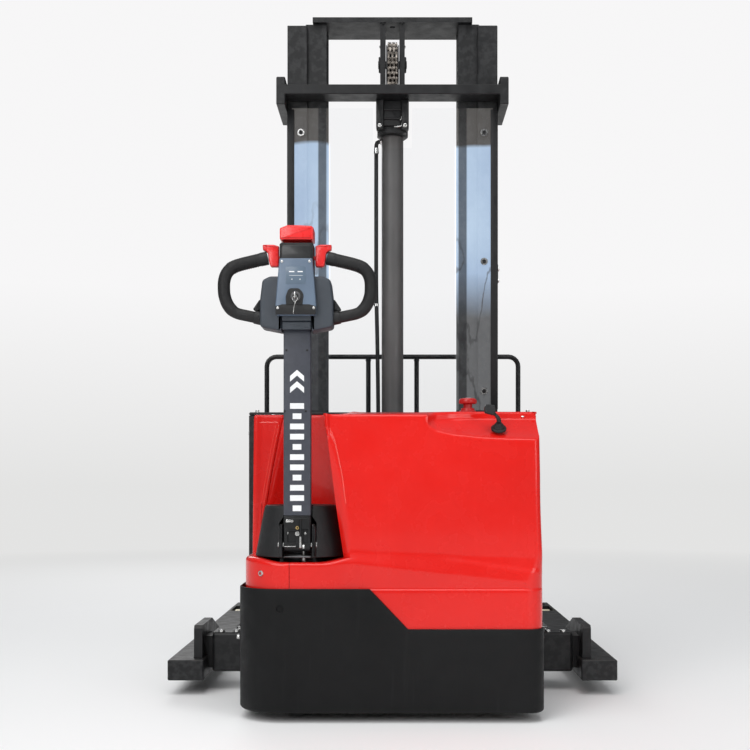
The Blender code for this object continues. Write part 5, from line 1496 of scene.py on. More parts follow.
def cylinder_pieces():
    foot, top = low("lift_cylinder").z, high("lift_cylinder").z
    r = 0.0348
    barrel = Shape().lathe([(0.0285, foot + 0.02), (0.0285, top - 0.05), (0.0196, top - 0.049), (0.0196, top),
            (0.027, top), (0.03, top - 0.0015), (0.033, top - 0.01), (0.0376, top - 0.0165),
            (0.0378, top - 0.02), (0.0378, top - 0.042), (0.0366, top - 0.044), (r, top - 0.045), (r, 0.852),
            (r + 0.0012, 0.8505), (r + 0.0012, 0.844), (r, 0.8425), (r, foot + 0.03),
            (r + 0.0028, foot + 0.028), (r + 0.0028, foot), (0.0, foot), (0.0, foot + 0.02)], (0, CYL.y, 0),
            UP, 56)
    barrel.piece("cylinder_barrel", "chassis", BARREL, "lift_cylinder", smooth=30)
    rod = Shape().lathe([(0, 0.3002), (0.0262, 0.3002), (0.027, 0.301), (0.027, 0.308), (0.0255, 0.3085),
            (0.0255, 0.318), (0.027, 0.3185), (0.027, 0.329), (0.0262, 0.3298), (0.0189, 0.33),
            (0.0189, high("piston_rod").z - 0.006), (0.016, high("piston_rod").z - 0.001),
            (0, high("piston_rod").z - 0.001)], (0, CYL.y, 0), UP, 48)
    rod.piece("piston_bar", "inner_mast", CHROME, "piston_rod", smooth=30)
    wiper = Shape().lathe([(0.0194, 0), (0.0235, 0), (0.024, 0.001), (0.0232, 0.004), (0.02, 0.005),
            (0.0194, 0.005)], (0, CYL.y, top), UP, 40, closed=True)
    wiper.piece("rod_wiper", "chassis", RUBBER, smooth=30)


cylinder_pieces()


def clamp_pieces():
    """Bracket under the crossmember: two side plates, a neck and the collar round the cylinder's head."""
    back = low("cylinder_clamp").y
    plates, fittings = Shape(), Shape()
    for side in (-1, 1):
        plate = filleted([(side * 0.0285, 1.742), (side * 0.05, 1.742), (side * 0.0515, 1.75),
                (side * 0.0515, 1.836), (side * 0.0285, 1.836)], [0.002, 0.005, 0.005, 0.001, 0.001], 3)
        plates.slab(plate, "Y", ahead(0.5975), back + 0.0005, 0.002, 3)
    plates.slab(filleted(rect(-0.03, 1.756, 0.03, 1.836), 0.002), "Y", ahead(0.596), back + 0.01, 0.003, 3)
    for z in (1.806, 1.778):
        plates.rod((-0.028, back + 0.0085, z), (0.028, back + 0.0085, z), 0.0035)
    plates.box((-0.044, ahead(0.59), 1.737), (0.044, ahead(0.614), 1.761))
    plates.lathe([(0.0356, 0), (0.043, 0), (0.0496, 0.005), (0.0496, 0.024), (0.048, 0.0255),
            (0.0356, 0.0255)], (0, CYL.y, 1.7358), UP, 56, closed=True)
    plates.piece("clamp_body", "chassis", STEEL, "cylinder_clamp", edge=0.0008)
    for side in (-1, 1):
        fittings.bolt((side * 0.04, back + 0.0005, 1.754), REARWARD, 0.0062, "hex")
    fittings.sweep(curve([(0.03, back + 0.006, 1.774), (0.03, back + 0.003, 1.762),
            (0.029, back + 0.003, 1.754), (0.019, back + 0.0035, 1.751), (0.006, back + 0.006, 1.751)], 24),
            0.0022, 10)
    fittings.rod((0.03, back + 0.006, 1.772), (0.03, back + 0.006, 1.784), 0.0042)
    fittings.rod((0.023, back + 0.006, 1.774), (0.027, back + 0.006, 1.774), 0.0025)
    fittings.piece("clamp_fittings", "chassis", ZINC, smooth=35)


clamp_pieces()


def hose_pieces():
    y = CYL.y - 0.008
    line = [(-0.0365, y, 1.723), (-0.045, y, 1.7228), (-0.05, y, 1.719), (-0.0518, y, 1.709),
            (-0.052, y, 1.68), (-0.0522, y, 1.45), (-0.0518, y, 1.25), (-0.048, y, 1.05), (-0.0455, y, 0.8),
            (-0.045, y, 0.3), (-0.045, y - 0.004, 0.272), (-0.045, y - 0.016, 0.259),
            (-0.045, ahead(0.5985), 0.256)]
    path = curve(line, 220)
    hose = Shape().sweep(path, 0.0065, 18)
    hose.piece("hose_run", "chassis", RUBBER, "hydraulic_hose", smooth=60)
    ends = Shape()
    ends.lathe([(0, 0), (0.0078, 0), (0.0084, 0.001), (0.0084, 0.006), (0.0078, 0.007), (0.0074, 0.007),
            (0.0074, 0.017), (0.0068, 0.018), (0, 0.018)], (-0.052, y, 1.685), UP, 24)
    ends.lathe([(0, 0), (0.0095, 0), (0.0095, 0.006), (0, 0.0065)], (-0.0335, y, 1.723), (-1, 0, 0), 6)
    for z in (1.2, 0.75):
        ends.lathe(rect(0.0067, -0.004, 0.0078, 0.004), (-0.0517 if z > 1 else -0.0454, y, z), UP, 20,
                closed=True)
    ends.piece("hose_fittings", "chassis", ZINC, smooth=30)


hose_pieces()


# ---------------------------------------------------------------- lift chain

CHAIN_R = 0.062
CHAIN_TRAVEL = JOINTS["carriage_lift"]["range_m"][1] - JOINTS["carriage_lift"]["range_m"][0]
AXLE = Vector(JOINTS["sheave_spin"]["pos_m"])
ARC_LINKS = 12
PITCH = math.pi * CHAIN_R / ARC_LINKS
PLATE_T = 0.0023
ROWS = {0: (-0.0148, -0.0123, -0.0026, 0.0001, 0.0098, 0.0123), 1: (-0.0099, -0.0074, 0.0025, 0.005)}


def link_outline(length, radius):
    """Side view of a link plate with a waist, centred between its pins."""
    half = length / 2
    right = arc((half, 0), radius, -78, 78, 6)
    left = arc((-half, 0), radius, 102, 258, 6)
    return right + [(0, radius * 0.7)] + left + [(0, -radius * 0.7)]


def chain_strand(place, count, scale=1.0):
    """Link plates and pins; place(s) gives the point and direction at a length along the chain."""
    shape = Shape()
    outline = link_outline(PITCH, 0.0067 * scale)
    for i in range(count):
        here, way = place((i + 0.5) * PITCH)
        up = Vector((way[1], -way[0]))
        for x in ROWS[i % 2]:
            ring = [(here[0] + way[0] * a + up.x * b, here[1] + way[1] * a + up.y * b) for a, b in outline]
            x0, x1 = x * scale, (x + PLATE_T) * scale
            shape.rings([[(t, p[0], p[1]) for p in ring] for t in (x0, x1)])
    for i in range(count + 1):
        here, _way = place(i * PITCH)
        shape.lathe(rect(0, 0, 0.003 * scale, 0.0318 * scale), (-0.0159 * scale, here[0], here[1]), ACROSS,
                10)
    return shape


def over_wheel(s):
    a = math.pi - s / CHAIN_R
    return (AXLE.y + CHAIN_R * math.cos(a), AXLE.z + CHAIN_R * math.sin(a)), (math.sin(a), -math.cos(a))


def chain_front():
    """The chain over the wheel, and the run down to the carriage."""
    chain_strand(over_wheel, ARC_LINKS).piece("chain_over_wheel", "inner_mast", CHAIN, "chain_wrap",
            smooth=30)
    front_low = low("chain_front_run").z
    count = int((AXLE.z - front_low) / PITCH)
    stretch = (AXLE.z - front_low - 0.004) / (count * PITCH)
    run = chain_strand(lambda s: ((AXLE.y + CHAIN_R, AXLE.z - s * stretch), (0.0, -1.0)), count)
    front = run.piece("chain_front", None, CHAIN, "chain_front_run", smooth=30)
    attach(front, "inner_mast")
    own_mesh(front)


def chain_rear():
    """The short run behind the wheel, and the strand beneath it, drawn folded up into the short run."""
    rear_low = low("chain_rear_run").z
    short = int((AXLE.z - rear_low) / PITCH)
    seen = chain_strand(lambda s: ((AXLE.y - CHAIN_R, AXLE.z - s), (0.0, -1.0)), short)
    seen.piece("chain_rear_links", "inner_mast", CHAIN, "chain_rear_run", smooth=30)
    # the part of the strand that pays out: drawn at full lift, then folded up into the short run
    height = AXLE.z - rear_low
    total = height + CHAIN_TRAVEL
    many = int(total / PITCH)
    long_run = chain_strand(lambda s: ((AXLE.y - CHAIN_R, rear_low + s * total / (many * PITCH)), (0.0, 1.0)),
            many, 0.82)
    for v in long_run.bm.verts:
        want = min(max(v.co.z, rear_low), rear_low + total)
        a, b = 0.0, 1.0
        for _ in range(40):
            t = (a + b) / 2
            if rear_low + height * t + CHAIN_TRAVEL * smoothstep(t) < want:
                a = t
            else:
                b = t
        v.co.z = rear_low + height * (a + b) / 2
    strand = long_run.piece("chain_paid_out", None, CHAIN, smooth=30)
    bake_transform(strand)


def chain_anchors():
    anchors = Shape()
    y = AXLE.y - CHAIN_R
    anchors.slab(filleted(balanced([(0.019, 1.8672), (0.019, 1.876), (0.012, 1.88)]), 0.002), "Y", y - 0.012,
            y + 0.012, 0.0015, 2)
    anchors.piece("chain_anchor_top", "chassis", ZINC, smooth=32)
    lug = Shape()
    y = AXLE.y + CHAIN_R
    lug.slab(filleted(rect(-0.0185, 0.4, 0.0185, 0.43), 0.003), "Y", y - 0.01, y + 0.01, 0.0015, 2)
    lug.rod((0, y, 0.36), (0, y, 0.401), 0.007)
    lug.lathe([(0, 0), (0.012, 0), (0.012, 0.009), (0, 0.0095)], (0, y, 0.378), UP, 6)
    lug.piece("chain_anchor_fork", "carriage", ZINC, smooth=32)


chain_front()
chain_rear()
chain_anchors()


def sheave_piece():
    rim = CHAIN_R - 0.007
    half = [(0.0126, -0.02), (0.024, -0.02), (0.025, -0.019), (0.026, -0.012), (0.044, -0.012),
            (0.046, -0.0185), (0.0475, -0.0203), (rim + 0.0045, -0.0203), (rim + 0.0055, -0.019),
            (rim + 0.0045, -0.0172), (rim, -0.0168)]
    shape = Shape().lathe(both_ways(half), AXLE, ACROSS, 64, closed=True)
    shape.piece("sheave_wheel", "sheave", CAST, "chain_sheave", smooth=28)
    marks = Shape()
    for i in range(6):
        a = math.pi / 3 * i
        at = (AXLE.x, AXLE.y + 0.035 * math.cos(a), AXLE.z + 0.035 * math.sin(a))
        for side in (-1, 1):
            marks.lathe([(0, 0), (0.0048, 0), (0.0042, 0.002), (0, 0.0022)], (side * 0.0119, at[1], at[2]),
                    (side, 0, 0), 14)
    marks.piece("sheave_rivets", "sheave", ZINC, slot="cast_metal")


sheave_piece()


# ---------------------------------------------------------------- carriage, backrest and forks

dress("carriage_frame", STEEL, 0.0022)
dress("load_backrest", STEEL, 0)
dress("fork_left", STEEL, 0.003, 3)
dress("fork_right", STEEL, 0.003, 3)


def carriage_details():
    notches, welds, bolts = Shape(), Shape(), Shape()
    face, top = high("carriage_frame").y, high("carriage_frame").z
    middle_y = middle("load_backrest").y
    for side in (-1, 1):
        for x in (0.0775, 0.1525, 0.2275, 0.3775):
            notches.box((side * x - 0.0045, middle_y - 0.0125, top - 0.0002),
                    (side * x + 0.0045, middle_y - 0.003, top + 0.0004))
        welds.lathe([(0.007, 0), (0.0118, 0), (0.0112, 0.002), (0.009, 0.0042), (0.007, 0.005)],
                (side * (high("load_backrest").x - 0.008), middle_y, top), UP, 24, closed=True)
        for z in (0.108, 0.452):
            bolts.bolt((side * 0.412, face, z), FORWARD, 0.008, "hex")
        for z in (0.15, 0.4):
            welds.lathe([(0.01, 0), (0.015, 0), (0.0145, 0.0018), (0.0118, 0.004), (0.01, 0.0046)],
                    (side * 0.204, middle("roller_left_lower").y, z), (side, 0, 0), 24, closed=True)
        for z in (0.0895, 0.1265, 0.4345, 0.4705):
            welds.weld([(side * 0.1855, face - 0.028, z), (side * 0.1852, face - 0.045, z),
                    (side * 0.1855, face - 0.075, z)], 24)
    # top ends of the two middle bars run into the bent tube
    for side in (-1, 1):
        welds.lathe([(0.0074, 0), (0.0098, 0), (0.0086, 0.005), (0.0074, 0.006)],
                (side * 0.08, middle_y, high("load_backrest").z - 0.0175), (0, 0, -1), 20, closed=True)
    notches.piece("bar_notches", "carriage", RUBBER, slot="frame_black")
    welds.piece("carriage_welds", "carriage", STEEL, smooth=60)
    bolts.piece("carriage_bolts", "carriage", ZINC, smooth=30)


carriage_details()


def roller_pieces():
    for name in ("roller_left_lower", "roller_right_lower", "roller_left_upper", "roller_right_upper"):
        at, size = middle(name), high(name) - low(name)
        r, w = size.z / 2 - 0.0002, size.x / 2 - 0.0002
        half = [(0.0106, w - 0.0006), (0.015, w - 0.0006), (0.0158, w - 0.0016), (0.019, w - 0.0016),
                (0.0196, w - 0.003), (0.0235, w - 0.003), (0.0242, w - 0.0012), (r - 0.0025, w - 0.0002),
                (r - 0.0008, w - 0.0014), (r, w - 0.0034)]
        profile = [(0.0106, -w + 0.0006)] + half + [(r, 0.0)] + [(x, -y) for x, y in reversed(half[1:])]
        Shape().lathe(profile, at, ACROSS, 48, closed=True).piece(name + "_ring", name, ZINC, name, smooth=28)


roller_pieces()


def fork_details():
    for name in ("fork_left", "fork_right"):
        at, front = middle(name), high(name)
        lock, wear = Shape(), Shape()
        top = high("carriage_frame").z
        # spring pin on the hook
        lock.lathe([(0, 0), (0.0075, 0), (0.0078, 0.0008), (0.0078, 0.007), (0.005, 0.008), (0.0045, 0.017),
                (0.01, 0.018), (0.0104, 0.02), (0.01, 0.024), (0.008, 0.0255), (0, 0.0258)],
                (at.x, ahead(0.793), top + 0.0135), UP, 28)
        lock.piece(name + "_lock", name, ZINC, smooth=30)
        # polished wear strips where pallets rub, and the weld at the heel
        for x in (-0.026, 0.026):
            wear.slab(filleted([(at.x + x - 0.011, ahead(0.9)), (at.x + x + 0.011, ahead(0.9)),
                    (at.x + x + 0.011, front.y - 0.4), (at.x + x, front.y - 0.37),
                    (at.x + x - 0.011, front.y - 0.4)], 0.006), "Z", 0.079, 0.0803, 0.0004, 1)
        wear.piece(name + "_wear", name, CAST, slot="frame_black", smooth=30)


fork_details()


# ---------------------------------------------------------------- straddle legs and wheels

for name in ("leg_left", "leg_right"):
    dress(name, STEEL, 0.0022)
dress("cross_tube", STEEL, 0)
LOAD_WHEEL = middle("load_wheel_right")


def leg_details():
    for side, name in ((-1, "left"), (1, "right")):
        leg, x0 = "leg_" + name, side * 0.594
        welds, bolts, plates = Shape(), Shape(), Shape()
        for y0, y1 in ((0.41, 0.56), (0.6, 0.86)):
            welds.weld([(x0, ahead(y0), 0.107), (side * 0.5945, ahead((y0 + y1) / 2), 0.1068),
                    (x0, ahead(y1), 0.107)], 60, 0.003, 0.0006, 1.8)
        for z in (0.078, 0.157):
            bolts.bolt((side * 0.594, ahead(0.45 if z > 0.1 else 0.51), max(z, 0.13)), (side, 0, 0), 0.01,
                    "hex")
        bolts.bolt((side * 0.594, ahead(0.56), 0.16), (side, 0, 0), 0.01, "hex")
        # cover plates over the load wheel's axle, with their screws
        for side_x in (-1, 1):
            x = LOAD_WHEEL.x * side + side_x * 0.053
            plates.slab(filleted(rect(ahead(1.63), 0.052, ahead(1.72), 0.086), 0.01), "X", x - side_x * 0.001,
                    x + side_x * 0.0001, 0.0004, 1)
        axle = side * LOAD_WHEEL.x
        for side_x in (-1, 1):
            bolts.lathe([(0, 0), (0.009, 0), (0.009, 0.003), (0.007, 0.0045), (0, 0.0045)],
                    (axle + side_x * 0.048, LOAD_WHEEL.y, LOAD_WHEEL.z), (side_x, 0, 0), 24)
        # chevron treads pressed in the top face over the wheel
        top = 0.106
        for i in range(5):
            y = ahead(1.78 + 0.016 * i)
            plates.slab([(side * LOAD_WHEEL.x - 0.03, y), (side * LOAD_WHEEL.x, y + 0.009),
                    (side * LOAD_WHEEL.x + 0.03, y), (side * LOAD_WHEEL.x + 0.03, y + 0.003),
                    (side * LOAD_WHEEL.x, y + 0.012), (side * LOAD_WHEEL.x - 0.03, y + 0.003)], "Z",
                    top - 0.0005, top + 0.001)
        welds.piece("leg_weld_" + name, leg, STEEL, smooth=60)
        bolts.piece("leg_bolts_" + name, leg, ZINC, smooth=30)
        plates.piece("leg_plates_" + name, leg, STEEL)


def tube_details():
    """The screws that clamp the sliding beams, on top of the cross tube."""
    tube_top = high("cross_tube").z
    clamps, pads = Shape(), Shape()
    for side in (-1, 1):
        for x, y in ((0.521, 0.468), (0.475, 0.54), (0.475, 0.468)):
            clamps.bolt((side * x, ahead(y), tube_top + 0.0004), UP, 0.0095, "hex")
        pads.box((side * 0.435, ahead(0.454), tube_top - 0.001), (side * 0.546, ahead(0.56),
                tube_top + 0.0004))
    clamps.piece("tube_bolts", "chassis", ZINC, smooth=30)
    pads.piece("tube_top_plates", "chassis", STEEL, edge=0.0008)


def wheel_pieces(name, bore, hub, tread, tyre):
    """Hub with a recessed web, and a tread with rounded shoulders."""
    at, size = middle(name), high(name) - low(name)
    r, w = size.z / 2 - 0.0002, size.x / 2 - 0.0003
    rim = r - tread
    half = [(bore, w - 0.001), (hub - 0.0015, w - 0.001), (hub, w - 0.0025), (hub + 0.001, w - 0.0075),
            (rim - 0.0075, w - 0.0085), (rim - 0.0065, w - 0.0025), (rim - 0.005, w - 0.001),
            (rim, w - 0.001)]
    Shape().lathe(both_ways(half), at, ACROSS, 64, closed=True).piece(name + "_hub", name, CAST, name,
            smooth=30)
    soft = min(0.006, tread * 0.6)
    band = [(rim, w - 0.0008), (r - soft, w)]
    band += [(r - soft + soft * math.sin(a), w - soft + soft * math.cos(a))
            for a in (math.pi / 8, math.pi / 4, 3 * math.pi / 8)]
    band += [(r, w - soft)]
    Shape().lathe(both_ways(band), at, ACROSS, 72, closed=True).piece(name + "_tread", name, tyre, name,
            smooth=30)
    return at, w


def bearing(name, bore, at, w):
    shape = Shape()
    for side in (-1, 1):
        shape.lathe([(bore, 0), (bore + 0.0052, 0), (bore + 0.0058, 0.0007), (bore + 0.0052, 0.0012),
                (bore, 0.0012)], at + Vector((side * (w - 0.0014), 0, 0)), (side, 0, 0), 32, closed=True)
    shape.piece(name + "_bearing", name, ZINC, smooth=30)


def wheels():
    for name, bore, hub, tread, tyre in (("load_wheel_left", 0.0106, 0.019, 0.012, CREAM),
            ("load_wheel_right", 0.0106, 0.019, 0.012, CREAM), ("caster_wheel", 0.0086, 0.017, 0.013, TYRE)):
        bearing(name, bore, *wheel_pieces(name, bore, hub, tread, tyre))
    at, w = wheel_pieces("drive_wheel", 0.0156, 0.03, 0.026, TYRE)
    nuts = Shape()
    for i in range(5):
        a = math.tau * i / 5
        for side in (-1, 1):
            nuts.bolt((at.x + side * (w - 0.0085), at.y + 0.044 * math.cos(a), at.z + 0.044 * math.sin(a)),
                    (side, 0, 0), 0.006, "hex", False)
    nuts.piece("drive_wheel_nuts", "drive_wheel", ZINC, smooth=30)


leg_details()
tube_details()
wheels()


def caster_details():
    dress("caster_fork", STEEL, 0.0016)
    axis = Vector(JOINTS["caster_swivel"]["pos_m"])
    wheel = middle("caster_wheel")
    race, nuts = Shape(), Shape()
    race.lathe([(0.03, 0.16), (0.0385, 0.16), (0.0398, 0.1615), (0.039, 0.165), (0.0398, 0.1685),
            (0.0385, 0.17), (0.03, 0.17)], (axis.x, axis.y, 0), UP, 48, closed=True)
    for side in (-1, 1):
        nuts.bolt((wheel.x + side * 0.037, wheel.y, wheel.z), (side, 0, 0), 0.009, "hex")
    race.piece("caster_race", "caster", ZINC, smooth=30)
    nuts.piece("caster_axle_nuts", "caster", ZINC, smooth=30)


caster_details()


# ---------------------------------------------------------------- drive unit, pump, battery and frame

def drive_details():
    # rounded twice, so that the cast edges show no facets
    for _ in range(2):
        dress("drive_gearbox", CAST, 0.002)
    foot, top = low("traction_motor").z, high("traction_motor").z
    r = 0.0638
    fins = [(0.0, foot), (r, foot), (r, foot + 0.006)]
    z = foot + 0.008
    while z < foot + 0.14:
        fins += [(r - 0.005, z), (r - 0.005, z + 0.0035), (r, z + 0.0045), (r, z + 0.0085)]
        z += 0.0105
    fins += [(r, foot + 0.149), (r - 0.006, foot + 0.1575), (0.032, foot + 0.1585), (0.03, foot + 0.16),
            (0.0298, top - 0.003), (0.0275, top - 0.0004), (0.0, top - 0.0004)]
    Shape().lathe(fins, (STEER.x, STEER.y, 0), UP, 64).piece("motor_case", "steering", MOTOR,
            "traction_motor", "frame_black", smooth=30)
    bolts = Shape()
    for i in range(8):
        a = math.tau * (i + 0.5) / 8
        bolts.bolt((STEER.x + 0.096 * math.cos(a), STEER.y + 0.096 * math.sin(a), 0.3525), UP, 0.0058,
                "socket")
    for i in range(3):
        a = math.tau * i / 3
        bolts.bolt((STEER.x + 0.045 * math.cos(a), STEER.y + 0.045 * math.sin(a), foot + 0.1575), UP, 0.0045,
                "hex")
    for side in (-1, 1):
        bolts.lathe([(0, 0), (0.015, 0), (0.015, 0.005), (0.011, 0.007), (0, 0.007)],
                (STEER.x + side * 0.066, STEER.y, 0.11), (side, 0, 0), 6)
    bolts.piece("drive_bolts", "steering", ZINC, smooth=30)
    leads = Shape()
    for i, dx in enumerate((-0.012, 0.0, 0.012)):
        start = Vector((STEER.x + dx, STEER.y + 0.02, top - 0.004))
        leads.sweep(curve([start, start + Vector((0.0, 0.004, 0.02)), start + Vector((0.012, 0.012, 0.028)),
                start + Vector((0.024, 0.018, 0.018))], 24), 0.0042, 10)
    leads.piece("motor_leads", "steering", RUBBER, smooth=50)


drive_details()


def pump_details():
    a, b = low("pump_unit"), high("pump_unit")
    y, zm, rm = ahead(0.165), 0.575, 0.0575
    x0 = a.x + 0.02
    tank = Shape()
    tank.slab(filleted(rect(a.x + 0.0006, ahead(0.0806), b.x - 0.0006, ahead(0.2494)), 0.018, 6), "Z",
            a.z + 0.0003, 0.5195, 0.008, 4)
    tank.piece("oil_tank", "chassis", MOTOR, "pump_unit", "frame_black", smooth=32)
    motor = Shape().lathe([(0, 0), (0.05, 0), (rm - 0.002, 0.004), (rm, 0.008), (rm, 0.022),
            (rm - 0.003, 0.0235), (rm - 0.003, 0.15), (rm, 0.1515), (rm, 0.172), (rm - 0.004, 0.178),
            (0.03, 0.182), (0.026, 0.19), (0.0, 0.19)], (x0 + 0.002, y, zm), ACROSS, 56)
    for z in (-1, 1):
        motor.box((x0 + 0.05 + 0.05 * z, y - 0.03, 0.515), (x0 + 0.062 + 0.05 * z, y + 0.03, 0.545))
    motor.piece("pump_motor", "chassis", STEEL, "pump_unit", smooth=32)
    brights = Shape()
    for dx in (0.06, 0.1):
        brights.bolt((x0 + dx, y, zm + rm - 0.004), UP, 0.005, "hex")
    brights.lathe([(0, 0), (0.016, 0), (0.0165, 0.002), (0.016, 0.012), (0.012, 0.014), (0, 0.014)],
            (b.x - 0.03, ahead(0.22), 0.519), UP, 32)
    for dx in (-1, 1):
        brights.bolt((middle("pump_unit").x + dx * 0.095, ahead(0.0808), 0.35), REARWARD, 0.005, "hex")
    brights.piece("pump_fittings", "chassis", ZINC, smooth=30)


pump_details()


def controller_pieces():
    a, b = low("motor_controller"), high("motor_controller")
    case = Shape()
    base = filleted(rect(a.x + 0.0004, a.z + 0.0004, b.x - 0.0004, b.z - 0.0004), 0.004)
    case.slab(base, "Y", b.y - 0.0002, b.y - 0.012, 0.0015, 2)
    x = a.x + 0.006
    while x < b.x - 0.006:
        case.box((x, b.y - 0.03, a.z + 0.006), (x + 0.0025, b.y - 0.011, b.z - 0.006))
        x += 0.0075
    case.slab(filleted(rect(a.x + 0.004, a.z + 0.004, b.x - 0.004, b.z - 0.004), 0.005), "Y", b.y - 0.029,
            a.y + 0.0004, 0.004, 3)
    case.piece("controller_case", "chassis", ALU, "motor_controller", smooth=32)
    leads = Shape()
    for i, dx in enumerate((0.018, 0.04, 0.062, 0.084)):
        at = Vector((a.x + dx, a.y + 0.03, b.z))
        leads.lathe([(0, 0), (0.007, 0), (0.007, 0.008), (0.005, 0.01), (0, 0.01)], at, UP, 20)
        leads.sweep(curve([at, at + Vector((0, 0.0, 0.03)), at + Vector((0.03, 0.008, 0.05)),
                at + Vector((0.07, 0.004, 0.04 - 0.01 * i)), at + Vector((0.1, -0.02, 0.01))], 30), 0.0045,
                10)
    leads.piece("controller_leads", "chassis", RUBBER, smooth=50)


def battery_pieces():
    a, b = low("battery"), high("battery")
    box = Shape()
    box.slab(filleted(rect(a.x + 0.0004, a.y + 0.0004, b.x - 0.0004, b.y - 0.0004), 0.012, 5), "Z",
            a.z + 0.0003, b.z - 0.018, 0.004, 3)
    cells = 4
    wide = (b.x - a.x - 0.02) / cells
    for i in range(cells):
        x = a.x + 0.01 + i * wide
        box.slab(filleted(rect(x + 0.003, a.y + 0.01, x + wide - 0.003, b.y - 0.01), 0.008, 4), "Z",
                b.z - 0.02, b.z - 0.006, 0.003, 3)
    box.piece("battery_box", "chassis", CASE, "battery", smooth=32)
    caps, posts = Shape(), Shape()
    for i in range(cells):
        x = a.x + 0.01 + (i + 0.5) * wide
        for j in (-2.5, -1.5, -0.5, 0.5, 1.5, 2.5):
            caps.lathe([(0, 0), (0.01, 0), (0.0104, 0.001), (0.01, 0.0038), (0.006, 0.005), (0, 0.005)],
                    (x + j * 0.026, middle("battery").y, b.z - 0.0062), UP, 20)
        for side in (-1, 1):
            posts.lathe([(0, 0), (0.01, 0), (0.0092, 0.005), (0, 0.0056)],
                    (x + side * 0.06, a.y + 0.04, b.z - 0.0062), UP, 20)
    for i in range(cells - 1):
        x = a.x + 0.01 + (i + 1) * wide
        posts.box((x - 0.036, a.y + 0.032, b.z - 0.005), (x + 0.036, a.y + 0.048, b.z - 0.0022))
    caps.piece("battery_caps", "chassis", PLASTIC, smooth=30)
    posts.piece("battery_posts", "chassis", CAST, smooth=30)


controller_pieces()
battery_pieces()


def chassis_details():
    dress("chassis_frame", STEEL, 0.0022)
    dress("battery_cover", STEEL, 0)
    a, b = low("battery_cover"), high("battery_cover")
    trim, bolts = Shape(), Shape()
    mid = middle("battery_cover").y
    for side in (-1, 1):
        trim.slab(filleted(rect(side * 0.15 - 0.05, mid - 0.014, side * 0.15 + 0.05, mid + 0.014), 0.013, 6),
                "Z", b.z - 0.002, b.z + 0.003, 0.0014, 2)
        for y in (a.y + 0.022, b.y - 0.022):
            bolts.bolt((side * (b.x - 0.022), y, b.z), UP, 0.007, "socket")
        frame = high("chassis_frame")
        for y in (0.38, 0.56):
            for z in (0.24, 0.78):
                bolts.bolt((side * frame.x, ahead(y), z), (side, 0, 0), 0.0075, "hex")
    trim.piece("lid_grips", "chassis", RUBBER, smooth=32)
    bolts.piece("frame_bolts", "chassis", ZINC, smooth=30)
    welds = Shape()
    for side in (-1, 1):
        welds.weld([(side * 0.4125, ahead(depth), high("cross_tube").z + 0.0012)
                for depth in (0.455, 0.51, 0.565)], 40, 0.0036, 0.0006, 1.9)
    welds.piece("frame_welds", "chassis", STEEL, smooth=60)


chassis_details()


# ---------------------------------------------------------------- floor, light and camera

def floor_plane():
    """A pale floor that fades into the backdrop far away, so no edge shows."""
    mat, tree, shader = new_material("floor")
    for key, value in (("Base Color", (0.92, 0.92, 0.92, 1)), ("Roughness", 0.6),
            ("Specular IOR Level", 0.2)):
        plug(tree, shader, key, value)
    reach = add(tree, "VectorMath", _0=add(tree, "NewGeometry").outputs["Position"])
    reach.operation = "LENGTH"
    far = add(tree, "Emission", Color=(0.77, 0.77, 0.765, 1))
    fade = add(tree, "MixShader", _1=shader.outputs[0], _2=far.outputs[0])
    plug(tree, fade, 0, spread(tree, reach.outputs["Value"], 2.2, 6.5, 0.0, 1.0))
    plug(tree, tree.nodes["Material Output"], "Surface", fade.outputs[0])
    bpy.ops.mesh.primitive_plane_add(size=60, location=(0, 0, 0))
    floor = bpy.context.active_object
    floor.name = "floor"
    floor.data.materials.append(mat)


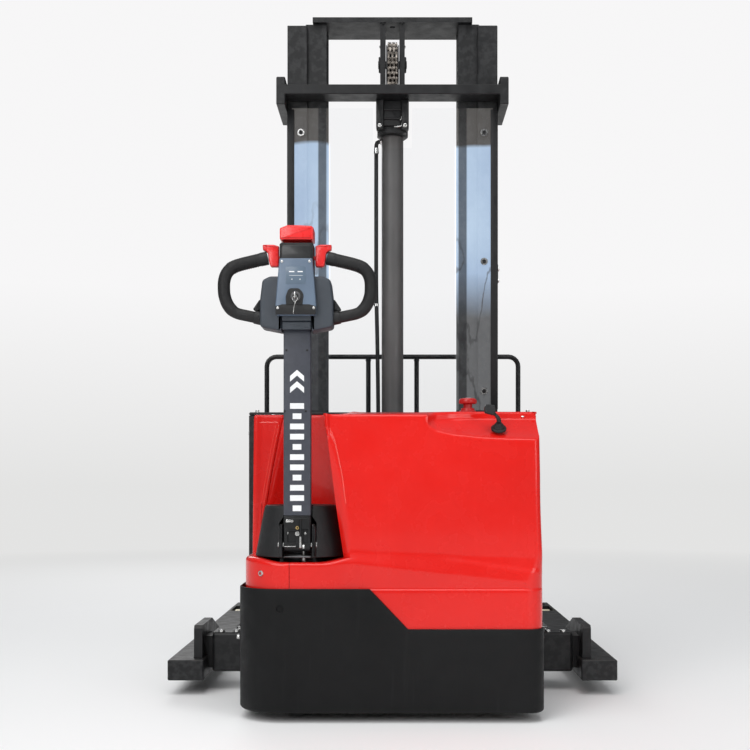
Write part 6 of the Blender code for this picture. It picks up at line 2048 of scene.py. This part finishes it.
def backdrop():
    """What the camera sees behind the floor, what shiny faces mirror, and the soft light from all sides."""
    world = bpy.data.worlds.new("studio")
    SCENE.world = world
    world.use_nodes = True
    tree = world.node_tree
    rise = axes(tree, add(tree, "TexCoord").outputs["Generated"])["Z"]
    path = add(tree, "LightPath")
    seen = blend_colours(tree, spread(tree, rise, -0.01, 0.16, 0.0, 1.0), (0.77, 0.77, 0.765),
            (0.93, 0.925, 0.93))
    ambient = blend_colours(tree, spread(tree, rise, 0.0, 0.9, 0.0, 1.0), (0.26, 0.26, 0.26),
            (0.36, 0.37, 0.38))
    mirrored = blend_colours(tree, spread(tree, rise, 0.1, 0.75, 0.0, 1.0), (0.075, 0.075, 0.078),
            (0.34, 0.355, 0.375))
    light = blend_colours(tree, path.outputs["Is Glossy Ray"], ambient, mirrored)
    light = blend_colours(tree, path.outputs["Is Camera Ray"], light, seen)
    plug(tree, tree.nodes["Background"], "Color", light)


def lights():
    def lamp(name, at, aim, size, power):
        data = bpy.data.lights.new(name, "AREA")
        data.shape = "RECTANGLE"
        data.size, data.size_y = size
        data.energy = power
        obj = bpy.data.objects.new(name, data)
        obj.location = at
        obj.rotation_mode = "QUATERNION"
        obj.rotation_quaternion = (Vector(aim) - Vector(at)).to_track_quat("-Z", "Y")
        SCENE.collection.objects.link(obj)

    lamp("key", (-2.2, -5.0, 2.6), (0, 0, 0.8), (2.6, 2.2), 85)
    lamp("fill", (3.0, -4.4, 1.9), (0, -0.2, 0.8), (2.0, 2.4), 50)
    lamp("top", (0.0, -2.4, 4.6), (0, 0, 0.6), (3.4, 2.2), 45)
    lamp("back", (-1.6, 4.6, 3.0), (0, 0, 1.0), (2.4, 2.0), 50)
    sun = bpy.data.lights.new("sun", "SUN")
    sun.energy = 1.0
    sun.angle = math.radians(50)
    sky = bpy.data.objects.new("sun", sun)
    sky.rotation_euler = (math.radians(28), math.radians(-16), 0)
    SCENE.collection.objects.link(sky)


def photo_camera():
    camera = bpy.data.cameras.new("camera")
    camera.sensor_fit = "VERTICAL"
    camera.sensor_height = 36.0
    camera.sensor_width = 29.6
    camera.lens = 54.3
    camera.shift_x = -0.0233
    camera.shift_y = 0.133
    eye = bpy.data.objects.new("camera", camera)
    eye.location = (0.0, -3.89375, 0.656)
    eye.rotation_euler = (math.pi / 2, 0, 0)
    SCENE.collection.objects.link(eye)
    SCENE.camera = eye
    SCENE.view_settings.view_transform = "Standard"


floor_plane()
backdrop()
lights()
photo_camera()
